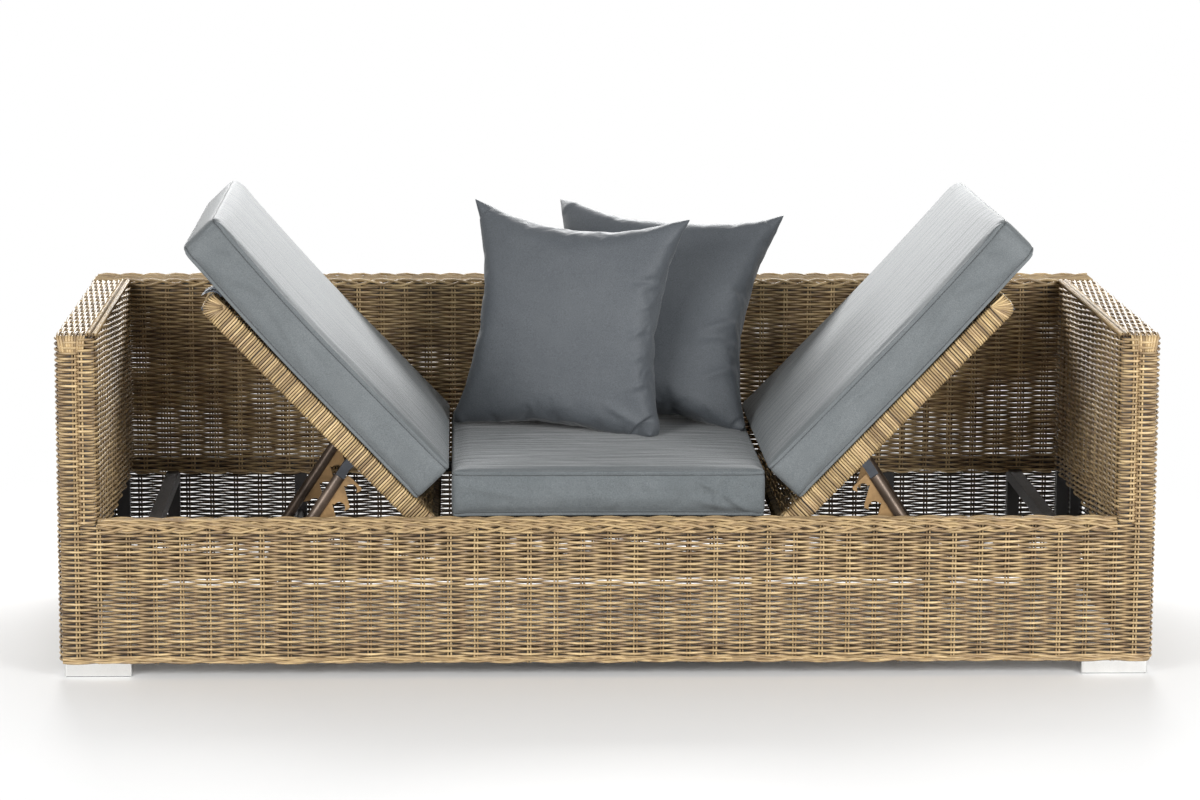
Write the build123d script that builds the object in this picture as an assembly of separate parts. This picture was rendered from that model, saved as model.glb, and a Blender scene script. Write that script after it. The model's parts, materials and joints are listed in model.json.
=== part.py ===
from build123d import *
import math
import os

# Lounge sofa with a round-strand wicker body, two adjustable end panels and
# loose cushions. Millimetres, +Z up, +X along the sofa, +Y towards the back.
# The origin lies on the floor under the middle of the sofa.

# Overall sizes
sofa_width = 2100
sofa_depth = 880
arm_height = 665
arm_thickness = 82
back_thickness = 100
apron_thickness = 40
apron_rise = 4
seat_height = 303

# Woven walls and their borders
weave_thickness = 9
strand_diameter = 4.5
stake_pitch = 51
stake_inset = 29
weave_relief = 3.5
inner_weave_drop = 43
border_crown = 5
border_lip_thickness = 6
border_lip_height = 18
corner_round = 8
edge_round = 3

# Welded frame tubes
tube_size = 25
tube_wall = 2
side_rail_inset = 83
catch_post_line = 619

# Feet
foot_height = 27
foot_length = 128
foot_depth = 62
foot_wall = 2
foot_corner = 4
foot_inset = 10
foot_front_inset = 12
glide_lift = 1.5
glide_gap = 0.5
bolt_radius = 3
bolt_hole_radius = 3.3
bolt_head_radius = 5
bolt_head_height = 4
bolt_length = 12

# Adjustable panels, raised as photographed
raised_angle = 46
panel_arm_gap = 16
panel_gap = 12
pivot_to_end = 18
panel_tube_width = 20
panel_tube_height = 34
panel_tube_wall = 1.5
panel_end_round = 14
pivot_line = 344
centre_seat_setback = 1.3
cross_tube_height = 22

# Hinges of the panels
pin_radius = 4
pin_clearance = 0.05
hinge_block_side = 16
lug_thickness = 4
lug_gap = 1
lug_radius = 12

# Ratchet struts
strut_pivot_along = 190
strut_pivot_below = 36
strut_angle = 56.7
strut_tube_radius = 11
strut_tube_wall = 1.5
strut_length = 290
strut_tube_start = 26
strut_leg_inset = 58
fitting_thickness = 14
fitting_half_height = 9
bracket_ear_thickness = 3
bracket_ear_gap = 1
bracket_ear_round = 9

# Comb plates with hooked teeth
comb_thickness = 3
comb_start = 16
comb_root = 17
comb_seat = 9
comb_first_notch = 36
comb_pitch = 42
comb_teeth = 5
notch_radius = 11.2
notch_offset = 33
claw_reach = 50
claw_width = 5
tooth_slope_length = 41
comb_tail = 13

# Fixed catch rod under each panel, given in the strut's own lengths
catch_rod_radius = 10
catch_rod_along = 255
catch_rod_offset = 23

# Cushions and pillows
cushion_thickness = 88
cushion_front_gap = 5
cushion_back_gap = 10
centre_cushion_length = 601.8
cushion_end_gap = 8
cushion_crown = 12
centre_crown = 6
cushion_draw_in = 5
cushion_corner = 22
soft_gap = 0.3
cushion_side_gap = 1.5
raised_side_gap = 2.5
strap_width = 38
strap_thickness = 3
strap_length = 17
strap_root = 12
strap_inset = 46
front_pillow_side = 448
rear_pillow_side = 470
pillow_thickness = 112
pillow_draw_in = 14
pillow_back_reach = 86.75
pillow_spacing = 129.6
front_pillow_line = -63
front_pillow_settle = 0.6
front_pillow_turns = (-17, 11.7, -2.7)
rear_pillow_line = 109
rear_pillow_settle = 5.2
rear_pillow_turns = (-13.5, 31, -3.9)

# One overrun serves every cut
overrun = 1

half_width = sofa_width / 2
half_depth = sofa_depth / 2
front_face = -half_depth
back_face = half_depth
apron_height = seat_height + apron_rise
inner_side = half_width - arm_thickness
back_inner = back_face - back_thickness
apron_inner = front_face + apron_thickness
panel_thickness = panel_tube_height + 2 * strand_diameter
pivot_height = seat_height - panel_thickness / 2
panel_front = apron_inner + panel_gap
panel_back = back_inner - panel_gap
half_tube = tube_size / 2

# Lines on which the tubes' centres lie
outer_x = half_width - weave_thickness - half_tube
inner_x = inner_side + weave_thickness + half_tube
front_y = front_face + weave_thickness + half_tube
back_y = back_face - weave_thickness - half_tube
back_inner_y = back_inner + weave_thickness + half_tube
top_z = arm_height - weave_thickness - half_tube
seat_rail_z = apron_height - weave_thickness - half_tube
support_z = seat_height - panel_thickness - half_tube
back_rail_z = support_z + tube_size
bottom_z = foot_height + half_tube
centre_half = centre_cushion_length / 2 - centre_seat_setback
hinge_rail_x = centre_half - half_tube
post_line = inner_side - side_rail_inset
panel_length = inner_side - panel_arm_gap - pivot_line + pivot_to_end

# Cushions fill the seat between apron and back, and between the arms
cushion_depth = back_inner - cushion_back_gap - apron_inner - cushion_front_gap
cushion_middle = apron_inner + cushion_front_gap + cushion_depth / 2
flat_cushion_start = centre_cushion_length / 2 + cushion_side_gap
cushion_length = inner_side - cushion_end_gap - flat_cushion_start
centre_cushion_top = seat_height + soft_gap + cushion_thickness + centre_crown

SIDES = {"left": -1, "right": 1}


def block(x0, x1, y0, y1, z0, z1):
    """A rectangular block between two opposite corners."""
    middle = ((x0 + x1) / 2, (y0 + y1) / 2, (z0 + z1) / 2)
    return Pos(*middle) * Box(abs(x1 - x0), abs(y1 - y0), abs(z1 - z0))


def tube_x(x0, x1, y, z):
    """A square frame tube along X with its centre at y, z."""
    outer = block(x0, x1, y - half_tube, y + half_tube, z - half_tube, z + half_tube)
    bore = half_tube - tube_wall
    return outer - block(
        x0 - overrun, x1 + overrun, y - bore, y + bore, z - bore, z + bore
    )


def tube_y(y0, y1, x, z):
    """A square frame tube along Y with its centre at x, z."""
    outer = block(x - half_tube, x + half_tube, y0, y1, z - half_tube, z + half_tube)
    bore = half_tube - tube_wall
    return outer - block(
        x - bore, x + bore, y0 - overrun, y1 + overrun, z - bore, z + bore
    )


def tube_z(z0, z1, x, y):
    """A square frame tube along Z with its centre at x, y."""
    outer = block(x - half_tube, x + half_tube, y - half_tube, y + half_tube, z0, z1)
    bore = half_tube - tube_wall
    return outer - block(
        x - bore, x + bore, y - bore, y + bore, z0 - overrun, z1 + overrun
    )


def cylinder_y(radius, y0, y1, x, z):
    """A round bar along Y."""
    return Pos(x, (y0 + y1) / 2, z) * Rot(90, 0, 0) * Cylinder(radius, abs(y1 - y0))


def foot_centres():
    """Where the middle of each foot lies in the plan."""
    x = half_width - foot_inset - foot_length / 2
    y = half_depth - foot_front_inset - foot_depth / 2
    return {
        "front_left": (-x, -y),
        "front_right": (x, -y),
        "back_left": (-x, y),
        "back_right": (x, y),
    }


def bolt_places():
    """One bolt for each foot, on the line of the bottom rail above it."""
    return [
        (x, front_y if y < 0 else back_y) for x, y in foot_centres().values()
    ]


def bolt_holes(shape, radius):
    """Holes for the foot bolts, through a foot's roof or a rail's lower wall."""
    for x, y in bolt_places():
        shape = shape - Pos(x, y, foot_height) * Cylinder(radius, bolt_length)
    return shape


def base_frame():
    """Bottom ring, posts, seat rails and top rails of the welded frame."""
    parts = {}
    rail_end = outer_x - half_tube
    parts["bottom_front_rail"] = bolt_holes(
        tube_x(-rail_end, rail_end, front_y, bottom_z), bolt_radius
    )
    parts["bottom_back_rail"] = bolt_holes(
        tube_x(-rail_end, rail_end, back_y, bottom_z), bolt_radius
    )
    side_ends = (front_y + half_tube, back_y - half_tube)
    parts["bottom_side_rails"] = Compound(
        children=[tube_y(*side_ends, sign * outer_x, bottom_z) for sign in (-1, 1)]
    )
    parts["bottom_rear_beam"] = tube_x(-rail_end, rail_end, back_inner_y, bottom_z)
    posts = [
        tube_z(foot_height, top_z - half_tube, sign * outer_x, y)
        for sign in (-1, 1)
        for y in (front_y, back_y)
    ]
    parts["corner_posts"] = Compound(children=posts)
    inner_posts = [
        tube_z(foot_height + tube_size, top_z - half_tube, sign * inner_x, y)
        for sign in (-1, 1)
        for y in (front_y, back_inner_y)
    ]
    parts["inner_posts"] = Compound(children=inner_posts)
    seat_end = inner_x - half_tube
    parts["front_seat_rail"] = tube_x(-seat_end, seat_end, front_y, seat_rail_z)
    parts["back_seat_rail"] = tube_x(-seat_end, seat_end, back_inner_y, back_rail_z)
    base_posts = []
    foot_z = foot_height + tube_size
    under_rails = support_z - half_tube
    under_back_rail = back_rail_z - half_tube
    post_tops = (
        (post_line, under_rails),
        (catch_post_line, under_back_rail),
        (hinge_rail_x, under_rails),
    )
    for sign in (-1, 1):
        for x, back_top in post_tops:
            base_posts.append(
                tube_z(foot_z, seat_rail_z - half_tube, sign * x, front_y)
            )
            base_posts.append(tube_z(foot_z, back_top, sign * x, back_inner_y))
    parts["base_posts"] = Compound(children=base_posts)
    rail_ends = (front_y + half_tube, back_inner_y + half_tube)
    for name, line in (("side_rails", post_line), ("hinge_rails", hinge_rail_x)):
        parts[name] = Compound(
            children=[tube_y(*rail_ends, sign * line, support_z) for sign in (-1, 1)]
        )
    for side, sign in SIDES.items():
        outer_tube = tube_y(
            front_y - half_tube, back_y + half_tube, sign * outer_x, top_z
        )
        inner_tube = tube_y(
            front_y - half_tube, back_y - half_tube, sign * inner_x, top_z
        )
        between = (sign * (inner_x + half_tube), sign * (outer_x - half_tube))
        ties = [
            block(
                *between,
                y - half_tube,
                y + half_tube,
                top_z - half_tube,
                top_z + half_tube,
            )
            for y in (front_y, back_inner_y)
        ]
        parts[side + "_arm_top_frame"] = Compound(
            children=[outer_tube, inner_tube] + ties
        )
    parts["back_top_frame"] = Compound(
        children=[
            tube_x(-rail_end, rail_end, back_y, top_z),
            tube_x(-seat_end, seat_end, back_inner_y, top_z),
        ]
    )
    return parts


def feet():
    """Polished hollow feet, their glides and the bolts that hold them."""
    parts = {}
    glides = []
    for name, (x, y) in foot_centres().items():
        shell_height = foot_height - glide_lift
        body = Pos(x, y, glide_lift + shell_height / 2) * Box(
            foot_length, foot_depth, shell_height
        )
        body = fillet(body.edges().filter_by(Axis.Z), foot_corner)
        hollow = Box(
            foot_length - 2 * foot_wall,
            foot_depth - 2 * foot_wall,
            shell_height - foot_wall,
        )
        hollow_z = glide_lift + (shell_height - foot_wall) / 2
        shell = body - Pos(x, y, hollow_z) * hollow
        parts[name + "_foot"] = bolt_holes(shell, bolt_hole_radius)
        pad_length = foot_length - 2 * foot_wall - 2 * glide_gap
        pad_depth = foot_depth - 2 * foot_wall - 2 * glide_gap
        pad_top = foot_height - foot_wall - bolt_head_height - glide_gap
        glides.append(Pos(x, y, pad_top / 2) * Box(pad_length, pad_depth, pad_top))
    parts["foot_glides"] = Compound(children=glides)
    bolts = []
    head_top = foot_height - foot_wall
    for x, y in bolt_places():
        head = Pos(x, y, head_top - bolt_head_height / 2) * extrude(
            RegularPolygon(bolt_head_radius, 6), bolt_head_height / 2, both=True
        )
        shank = Pos(x, y, head_top + bolt_length / 2) * Cylinder(
            bolt_radius, bolt_length
        )
        bolts.append(head + shank)
    parts["foot_bolts"] = Compound(children=bolts)
    return parts


def stake_relief(x0, x1, y_out, toward):
    """Outer edge of a woven wall in plan: it swells at each stake, dips between."""
    first = x0 + stake_inset
    last = x1 - stake_inset
    count = round((last - first) / stake_pitch)
    step = (last - first) / count
    points = [(x0, y_out), (first, y_out)]
    for index in range(count):
        stake = first + step * index
        points.append((stake + step / 2, y_out + toward * weave_relief))
        points.append((stake + step, y_out))
    points.append((x1, y_out))
    return points


def wall_panel_x(x0, x1, y_out, toward, z0, z1):
    """A woven wall across the sofa, rounded at its upright ends on the outside."""
    y_in = y_out + toward * weave_thickness
    outline = stake_relief(x0, x1, y_out, toward) + [(x1, y_in), (x0, y_in)]
    with BuildPart() as wall:
        with BuildSketch(Plane.XY.offset(z0)):
            with BuildLine():
                Polyline(*outline, close=True)
            make_face()
        extrude(amount=z1 - z0)
        ends = [
            edge
            for edge in wall.edges().filter_by(Axis.Z)
            if abs(abs(edge.center().X) - half_width) < overrun
            and abs(edge.center().Y - y_out) < overrun
        ]
        fillet(ends, corner_round)
    return wall.part


def woven_walls():
    """Woven outer and inner walls of the arms, back and front apron."""
    parts = {}
    wall_top = arm_height - weave_thickness
    apron_top = apron_height - weave_thickness
    inner_bottom = seat_height - inner_weave_drop
    parts["front_apron_weave"] = wall_panel_x(
        -half_width, half_width, front_face, 1, foot_height, apron_top
    )
    parts["back_outer_weave"] = wall_panel_x(
        -half_width, half_width, back_face, -1, foot_height, wall_top
    )
    parts["back_inner_weave"] = block(
        -inner_side,
        inner_side,
        back_inner,
        back_inner + weave_thickness,
        inner_bottom,
        wall_top,
    )
    for side, sign in SIDES.items():
        x_out = sign * half_width
        x_in = sign * inner_side
        step = sign * weave_thickness
        depth_ends = (front_face + weave_thickness, back_face - weave_thickness)
        parts[side + "_arm_outer_weave"] = block(
            x_out, x_out - step, *depth_ends, foot_height, wall_top
        )
        inner_wall = block(
            x_in,
            x_in + step,
            front_face + weave_thickness,
            back_inner + weave_thickness,
            inner_bottom,
            wall_top,
        )
        rail_notch = block(
            x_in - step,
            x_in + step,
            front_y - half_tube,
            front_y + half_tube,
            seat_rail_z - half_tube,
            seat_rail_z + half_tube,
        )
        parts[side + "_arm_inner_weave"] = inner_wall - rail_notch
        front = block(
            x_in,
            x_out,
            front_face,
            front_face + weave_thickness,
            apron_top,
            wall_top,
        )
        uprights = front.faces().sort_by(Axis.Y)[0].edges().filter_by(Axis.Z)
        parts[side + "_arm_front_weave"] = fillet(uprights, corner_round)
        parts[side + "_arm_top_weave"] = arm_top(sign)
    return parts


def arm_top(sign):
    """Woven top of an arm: flat with rounded long edges and front edge."""
    top = block(
        sign * inner_side,
        sign * half_width,
        front_face,
        back_inner,
        arm_height - weave_thickness,
        arm_height,
    )
    upper = top.faces().sort_by(Axis.Z)[-1]
    rounded = [
        edge for edge in upper.edges() if edge.center().Y < back_inner - overrun
    ]
    return fillet(rounded, corner_round)


def borders():
    """Plaited borders along the back's top edge and the apron's top edge."""
    parts = {}
    low = arm_height - weave_thickness
    edge_top = arm_height - border_crown
    with BuildPart() as back_border:
        with BuildSketch(Plane.YZ.offset(-half_width)):
            with BuildLine():
                Polyline(
                    (back_inner, edge_top),
                    (back_inner, low),
                    (back_face, low),
                    (back_face, edge_top),
                )
                ThreePointArc(
                    (back_face, edge_top),
                    ((back_face + back_inner) / 2, arm_height),
                    (back_inner, edge_top),
                )
            make_face()
        extrude(amount=sofa_width)
    parts["back_top_border"] = back_border.part
    tube_top = seat_rail_z + half_tube
    cap = block(
        -inner_side,
        inner_side,
        front_face,
        apron_inner,
        tube_top,
        apron_height,
    )
    lip_face = apron_inner - border_lip_thickness
    lip = block(
        -inner_side,
        inner_side,
        lip_face,
        apron_inner,
        tube_top - border_lip_height,
        tube_top,
    )
    border = cap + lip
    upper = border.faces().sort_by(Axis.Z)[-1].edges().filter_by(Axis.X)
    parts["apron_top_border"] = fillet(upper, edge_round)
    return parts


def seat_members(length, width, cross_places):
    """Limits of the frame members of a seat panel, long ones first.

    The frame lies flat with its near end at x = 0, its thickness centred on
    z = 0 and its width centred on y = 0.
    """
    half_w = width / 2 - strand_diameter
    half_h = panel_tube_height / 2
    end = length - strand_diameter
    inside = half_w - panel_tube_width
    long_members = [
        (strand_diameter, end, -half_w, -inside, -half_h, half_h),
        (strand_diameter, end, inside, half_w, -half_h, half_h),
    ]
    short_members = [
        (x0, x0 + panel_tube_width, -inside, inside, -half_h, half_h)
        for x0 in (strand_diameter, end - panel_tube_width)
    ]
    for place in cross_places:
        low = place - panel_tube_width / 2
        high = place + panel_tube_width / 2
        top = -half_h + cross_tube_height
        short_members.append((low, high, -inside, inside, -half_h, top))
    return long_members, short_members


def seat_frame_tubes(length, width, cross_places):
    """The four metal members of a seat panel and the cross tubes between them."""
    long_members, short_members = seat_members(length, width, cross_places)
    wall = panel_tube_wall
    tubes = []
    for x0, x1, y0, y1, z0, z1 in long_members:
        bore = block(
            x0 - overrun, x1 + overrun, y0 + wall, y1 - wall, z0 + wall, z1 - wall
        )
        tubes.append(block(x0, x1, y0, y1, z0, z1) - bore)
    for x0, x1, y0, y1, z0, z1 in short_members:
        bore = block(
            x0 + wall, x1 - wall, y0 - overrun, y1 + overrun, z0 + wall, z1 - wall
        )
        tubes.append(block(x0, x1, y0, y1, z0, z1) - bore)
    return tubes


def seat_deck(length, width):
    """The woven surface between the frame members, at the top of the frame."""
    inset = strand_diameter + panel_tube_width + strand_diameter
    top = panel_thickness / 2
    return block(
        inset,
        length - inset,
        -width / 2 + inset,
        width / 2 - inset,
        top - weave_thickness,
        top,
    )


def seat_wraps(length, width, cross_places, end_round):
    """Strand wraps: a sleeve round each member, with rounded ends if asked."""
    half_w = width / 2
    half_h = panel_thickness / 2
    sleeve = panel_tube_width + 2 * strand_diameter
    reach = half_w - sleeve
    outers = [
        (0, length, -half_w, -reach),
        (0, length, reach, half_w),
        (0, sleeve, -reach, reach),
        (length - sleeve, length, -reach, reach),
    ]
    long_members, short_members = seat_members(length, width, cross_places)
    sleeves = []
    for x0, x1, y0, y1 in outers:
        outer = block(x0, x1, y0, y1, -half_h, half_h)
        tips = [
            edge
            for edge in outer.edges().filter_by(Axis.Y)
            if min(edge.center().X, length - edge.center().X) < overrun
        ]
        if end_round > 0:
            outer = fillet(tips, end_round)
        for limits in long_members + short_members:
            outer = outer - block(*limits)
        sleeves.append(outer)
    return sleeves


def panel_place(shape):
    """Moves a shape from the flat panel frame to the raised right panel."""
    return Pos(pivot_line, 0, pivot_height) * Rot(0, -raised_angle, 0) * shape


def for_side(sign, shape):
    """The right-hand shape itself, or its mirror image for the left."""
    if sign > 0:
        return shape
    return mirror(shape, about=Plane.YZ)


def strut_lines():
    """The two planes, along Y, in which the legs of a strut lie."""
    return (panel_front + strut_leg_inset, panel_back - strut_leg_inset)


def panel_parts():
    """Tube frame with its hinge blocks, strut brackets, wraps and woven deck."""
    width = panel_back - panel_front
    middle = (panel_back + panel_front) / 2
    shift = Pos(-pivot_to_end, middle, 0)
    cross_places = (strut_pivot_along + pivot_to_end,)
    tubes = seat_frame_tubes(panel_length, width, cross_places)
    tubes = [shift * tube for tube in tubes]
    wraps = seat_wraps(panel_length, width, cross_places, panel_end_round)
    wraps = [shift * sleeve for sleeve in wraps]
    block_length = strand_diameter + panel_tube_width
    half = hinge_block_side / 2
    ends = ((0, panel_front, 1), (1, panel_back, -1))
    for index, face, toward in ends:
        inner_end = face + toward * block_length
        hinge_block = block(-half, half, face, inner_end, -half, half)
        over_ends = (face - toward * overrun, inner_end + toward * overrun)
        bore = cylinder_y(pin_radius + pin_clearance, *over_ends, 0, 0)
        tubes[index] = tubes[index] + hinge_block - bore
        wraps = [wrap - hinge_block for wrap in wraps]
    parts = {
        "panel_frame": tubes,
        "panel_weave": [shift * seat_deck(panel_length, width)],
        "panel_edge_wraps": wraps,
        "strut_brackets": strut_brackets(),
    }
    return {
        name: [panel_place(shape) for shape in shapes]
        for name, shapes in parts.items()
    }


def strut_brackets():
    """Pairs of ears under the panel, each pair with its pin fixed in it."""
    brackets = []
    place = (strut_pivot_along, -strut_pivot_below)
    half_span = fitting_thickness / 2 + bracket_ear_gap + bracket_ear_thickness
    for line in strut_lines():
        bracket = cylinder_y(pin_radius, line - half_span, line + half_span, *place)
        for sign in (-1, 1):
            outer = line + sign * half_span
            inner = outer - sign * bracket_ear_thickness
            ear = block(
                strut_pivot_along - bracket_ear_round,
                strut_pivot_along + bracket_ear_round,
                inner,
                outer,
                -strut_pivot_below,
                -panel_tube_height / 2,
            )
            ear = ear + cylinder_y(bracket_ear_round, inner, outer, *place)
            bracket = bracket + ear
        brackets.append(bracket)
    return brackets


def strut_place(shape):
    """Moves a shape from the strut's own frame to the raised right strut.

    In that frame the strut runs along +X from its pivot, and -Z points to the
    side on which the comb's teeth stand.
    """
    angle = math.radians(raised_angle)
    x = (
        pivot_line
        + strut_pivot_along * math.cos(angle)
        + strut_pivot_below * math.sin(angle)
    )
    z = (
        pivot_height
        + strut_pivot_along * math.sin(angle)
        - strut_pivot_below * math.cos(angle)
    )
    return Pos(x, 0, z) * Rot(0, strut_angle, 0) * shape


def comb_profile():
    """Outline of a comb plate: sloping teeth with hooked round notches."""
    notch_end = comb_first_notch + comb_pitch * (comb_teeth - 1)
    with BuildSketch(Plane.XZ) as sketch:
        with BuildLine():
            start = (comb_start, -comb_seat)
            Line(start, (comb_start, -comb_root))
            here = (comb_start, -comb_root)
            for index in range(comb_teeth):
                centre = comb_first_notch + comb_pitch * index
                apex_x = max(centre - tooth_slope_length, comb_start)
                apex = (apex_x, -comb_root)
                if apex_x > here[0]:
                    Line(here, apex)
                    here = apex
                claw_x = centre - notch_radius - claw_width / 2
                claw = (claw_x, -claw_reach + claw_width / 2)
                tip = (claw_x + claw_width, -claw_reach)
                mouth = (centre, -notch_offset - notch_radius)
                crown = (centre - notch_radius, -notch_offset)
                root = (centre, -notch_offset + notch_radius)
                Line(here, claw)
                Line(claw, tip)
                Line(tip, mouth)
                ThreePointArc(mouth, crown, root)
                here = root
            tail = (notch_end + comb_tail, -comb_seat)
            Line(here, tail)
            Line(tail, start)
        make_face()
    return sketch.sketch


def strut_parts():
    """A bail of two tube legs and a cross bar, with fittings and comb plates."""
    near, far = strut_lines()
    bore_radius = strut_tube_radius - strut_tube_wall
    cross_ends = (near - strut_tube_radius, far + strut_tube_radius)
    cross = cylinder_y(strut_tube_radius, *cross_ends, strut_length, 0)
    leg_length = strut_length - strut_tube_start
    leg_middle = (strut_length + strut_tube_start) / 2
    bail = [cross]
    combs = []
    fittings = []
    for line in (near, far):
        outer = Rot(0, 90, 0) * Cylinder(strut_tube_radius, leg_length)
        bore = Rot(0, 90, 0) * Cylinder(bore_radius, leg_length + overrun)
        bail.append(Pos(leg_middle, line, 0) * (outer - bore) - cross)
        plate = extrude(comb_profile(), comb_thickness / 2, both=True)
        leg = Rot(0, 90, 0) * Cylinder(strut_tube_radius, 2 * strut_length)
        combs.append(Pos(0, line, 0) * (plate - leg))
        half = fitting_thickness / 2
        tongue = block(
            0,
            strut_tube_start,
            -half,
            half,
            -fitting_half_height,
            fitting_half_height,
        )
        eye = cylinder_y(fitting_half_height, -half, half, 0, 0)
        plug_end = strut_tube_start + strut_tube_radius
        plug = Rot(0, 90, 0) * Cylinder(bore_radius, plug_end - strut_tube_start)
        plug = Pos((strut_tube_start + plug_end) / 2, 0, 0) * plug
        bore = cylinder_y(
            pin_radius + pin_clearance, -half - overrun, half + overrun, 0, 0
        )
        fittings.append(Pos(0, line, 0) * (tongue + eye + plug - bore))
    parts = {
        "strut_bail": bail,
        "strut_fittings": fittings,
        "comb_plates": combs,
    }
    return {
        name: [strut_place(shape) for shape in shapes]
        for name, shapes in parts.items()
    }


def hinge_and_catch(sign):
    """Hinge lugs and pins on the base, and the fixed rod that the combs catch."""
    lugs = []
    pins = []
    rail_top = support_z + half_tube
    for face, toward in ((panel_front, -1), (panel_back, 1)):
        near = face + toward * lug_gap
        far = near + toward * lug_thickness
        foot = block(
            hinge_rail_x - half_tube, pivot_line, near, far, rail_top, pivot_height
        )
        web = block(
            hinge_rail_x + half_tube,
            pivot_line,
            near,
            far,
            rail_top,
            pivot_height - lug_radius,
        )
        boss = cylinder_y(lug_radius, near, far, pivot_line, pivot_height)
        bore = cylinder_y(
            pin_radius,
            near - toward * overrun,
            far + toward * overrun,
            pivot_line,
            pivot_height,
        )
        lugs.append(foot + web + boss - bore)
        inner = face - toward * (strand_diameter + panel_tube_width)
        pins.append(cylinder_y(pin_radius, inner, far, pivot_line, pivot_height))
    rod_end = (front_y + half_tube, back_inner_y - half_tube)
    rod = strut_place(
        cylinder_y(catch_rod_radius, *rod_end, catch_rod_along, -catch_rod_offset)
    )
    return (
        [for_side(sign, lug) for lug in lugs],
        [for_side(sign, pin) for pin in pins],
        for_side(sign, rod),
    )


def centre_seat():
    """The fixed middle seat: frame, wraps and woven deck on the hinge rails."""
    length = 2 * centre_half
    width = panel_back - panel_front
    middle = (panel_back + panel_front) / 2
    place = Pos(-centre_half, middle, seat_height - panel_thickness / 2)
    return {
        "centre_seat_frame": Compound(
            children=[place * tube for tube in seat_frame_tubes(length, width, ())]
        ),
        "centre_seat_weave": place * seat_deck(length, width),
        "centre_seat_wraps": Compound(
            children=[place * sleeve for sleeve in seat_wraps(length, width, (), 0)]
        ),
    }


def cushion(length, crown):
    """A boxed cushion: flat below, crowned above, sides drawn in between corners.

    It lies on z = 0 with its near end at x = 0, centred on y = 0.
    """
    half_d = cushion_depth / 2
    pull = cushion_draw_in
    with BuildSketch() as plan:
        with BuildLine():
            ThreePointArc((0, -half_d), (length / 2, -half_d + pull), (length, -half_d))
            ThreePointArc((length, -half_d), (length - pull, 0), (length, half_d))
            ThreePointArc((length, half_d), (length / 2, half_d - pull), (0, half_d))
            ThreePointArc((0, half_d), (pull, 0), (0, -half_d))
        make_face()
        fillet(plan.vertices(), cushion_corner)
    body = extrude(plan.sketch, cushion_thickness + crown)
    with BuildSketch(Plane.XZ) as long_side:
        with BuildLine():
            Polyline(
                (0, cushion_thickness), (0, 0), (length, 0), (length, cushion_thickness)
            )
            ThreePointArc(
                (length, cushion_thickness),
                (length / 2, cushion_thickness + crown),
                (0, cushion_thickness),
            )
        make_face()
    with BuildSketch(Plane.YZ) as short_side:
        with BuildLine():
            Polyline(
                (-half_d, cushion_thickness),
                (-half_d, 0),
                (half_d, 0),
                (half_d, cushion_thickness),
            )
            ThreePointArc(
                (half_d, cushion_thickness),
                (0, cushion_thickness + crown),
                (-half_d, cushion_thickness),
            )
        make_face()
    body = body & extrude(long_side.sketch, half_d, both=True)
    return body & extrude(short_side.sketch, length + overrun)


def pillow(side):
    """A knife-edged pillow standing in the XZ plane, centred on the origin."""
    half = side / 2
    bulge = pillow_thickness / 2
    pull = pillow_draw_in
    with BuildSketch(Plane.XZ) as plan:
        with BuildLine():
            ThreePointArc((-half, -half), (0, -half + pull), (half, -half))
            ThreePointArc((half, -half), (half - pull, 0), (half, half))
            ThreePointArc((half, half), (0, half - pull), (-half, half))
            ThreePointArc((-half, half), (-half + pull, 0), (-half, -half))
        make_face()
    with BuildSketch() as lens:
        with BuildLine():
            ThreePointArc((-half, 0), (0, -bulge), (half, 0))
            ThreePointArc((half, 0), (0, bulge), (-half, 0))
        make_face()
    with BuildSketch(Plane.YZ) as side_lens:
        with BuildLine():
            ThreePointArc((0, -half), (bulge, 0), (0, half))
            ThreePointArc((0, half), (-bulge, 0), (0, -half))
        make_face()
    body = extrude(plan.sketch, bulge, both=True)
    body = body & extrude(lens.sketch, half, both=True)
    return body & extrude(side_lens.sketch, half, both=True)


def pillow_at(line, depth, turns, side, settle):
    """A pillow standing on one corner on the middle cushion, turned and leaned.

    Turns are degrees about the upright, back and in its own plane. The settle is
    how far its corner stands below the highest point of the cushion's crown.
    """
    turn, lean, roll = turns
    roll_angle = math.radians(abs(roll))
    corner_drop = side / 2 * (math.cos(roll_angle) + math.sin(roll_angle))
    corner_drop = corner_drop * math.cos(math.radians(lean))
    height = centre_cushion_top + corner_drop - settle
    upright = Rot(-lean, 0, 0) * Rot(0, -roll, 0) * pillow(side)
    return Pos(line, depth, height) * Rot(0, 0, turn) * upright


def pillows():
    """The rear pillow leans on the back's top edge, the front one stands before it."""
    turn, lean, roll = rear_pillow_turns
    back_rise = arm_height - centre_cushion_top - rear_pillow_side / 2
    rear_depth = back_inner - pillow_back_reach
    rear_depth = rear_depth - back_rise * math.tan(math.radians(lean))
    front = pillow_at(
        front_pillow_line,
        rear_depth - pillow_spacing,
        front_pillow_turns,
        front_pillow_side,
        front_pillow_settle,
    )
    rear = pillow_at(
        rear_pillow_line,
        rear_depth,
        rear_pillow_turns,
        rear_pillow_side,
        rear_pillow_settle,
    )
    return {"front_pillow": front, "rear_pillow": rear}


def raised_cushion_start():
    """Where a raised cushion's lower end lies, from the pivot up the panel.

    Its upper edge there keeps clear of the middle cushion's end.
    """
    angle = math.radians(raised_angle)
    top = panel_thickness / 2 + soft_gap + cushion_thickness
    reach = centre_cushion_length / 2 + raised_side_gap - pivot_line
    return (reach + top * math.sin(angle)) / math.cos(angle)


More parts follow.
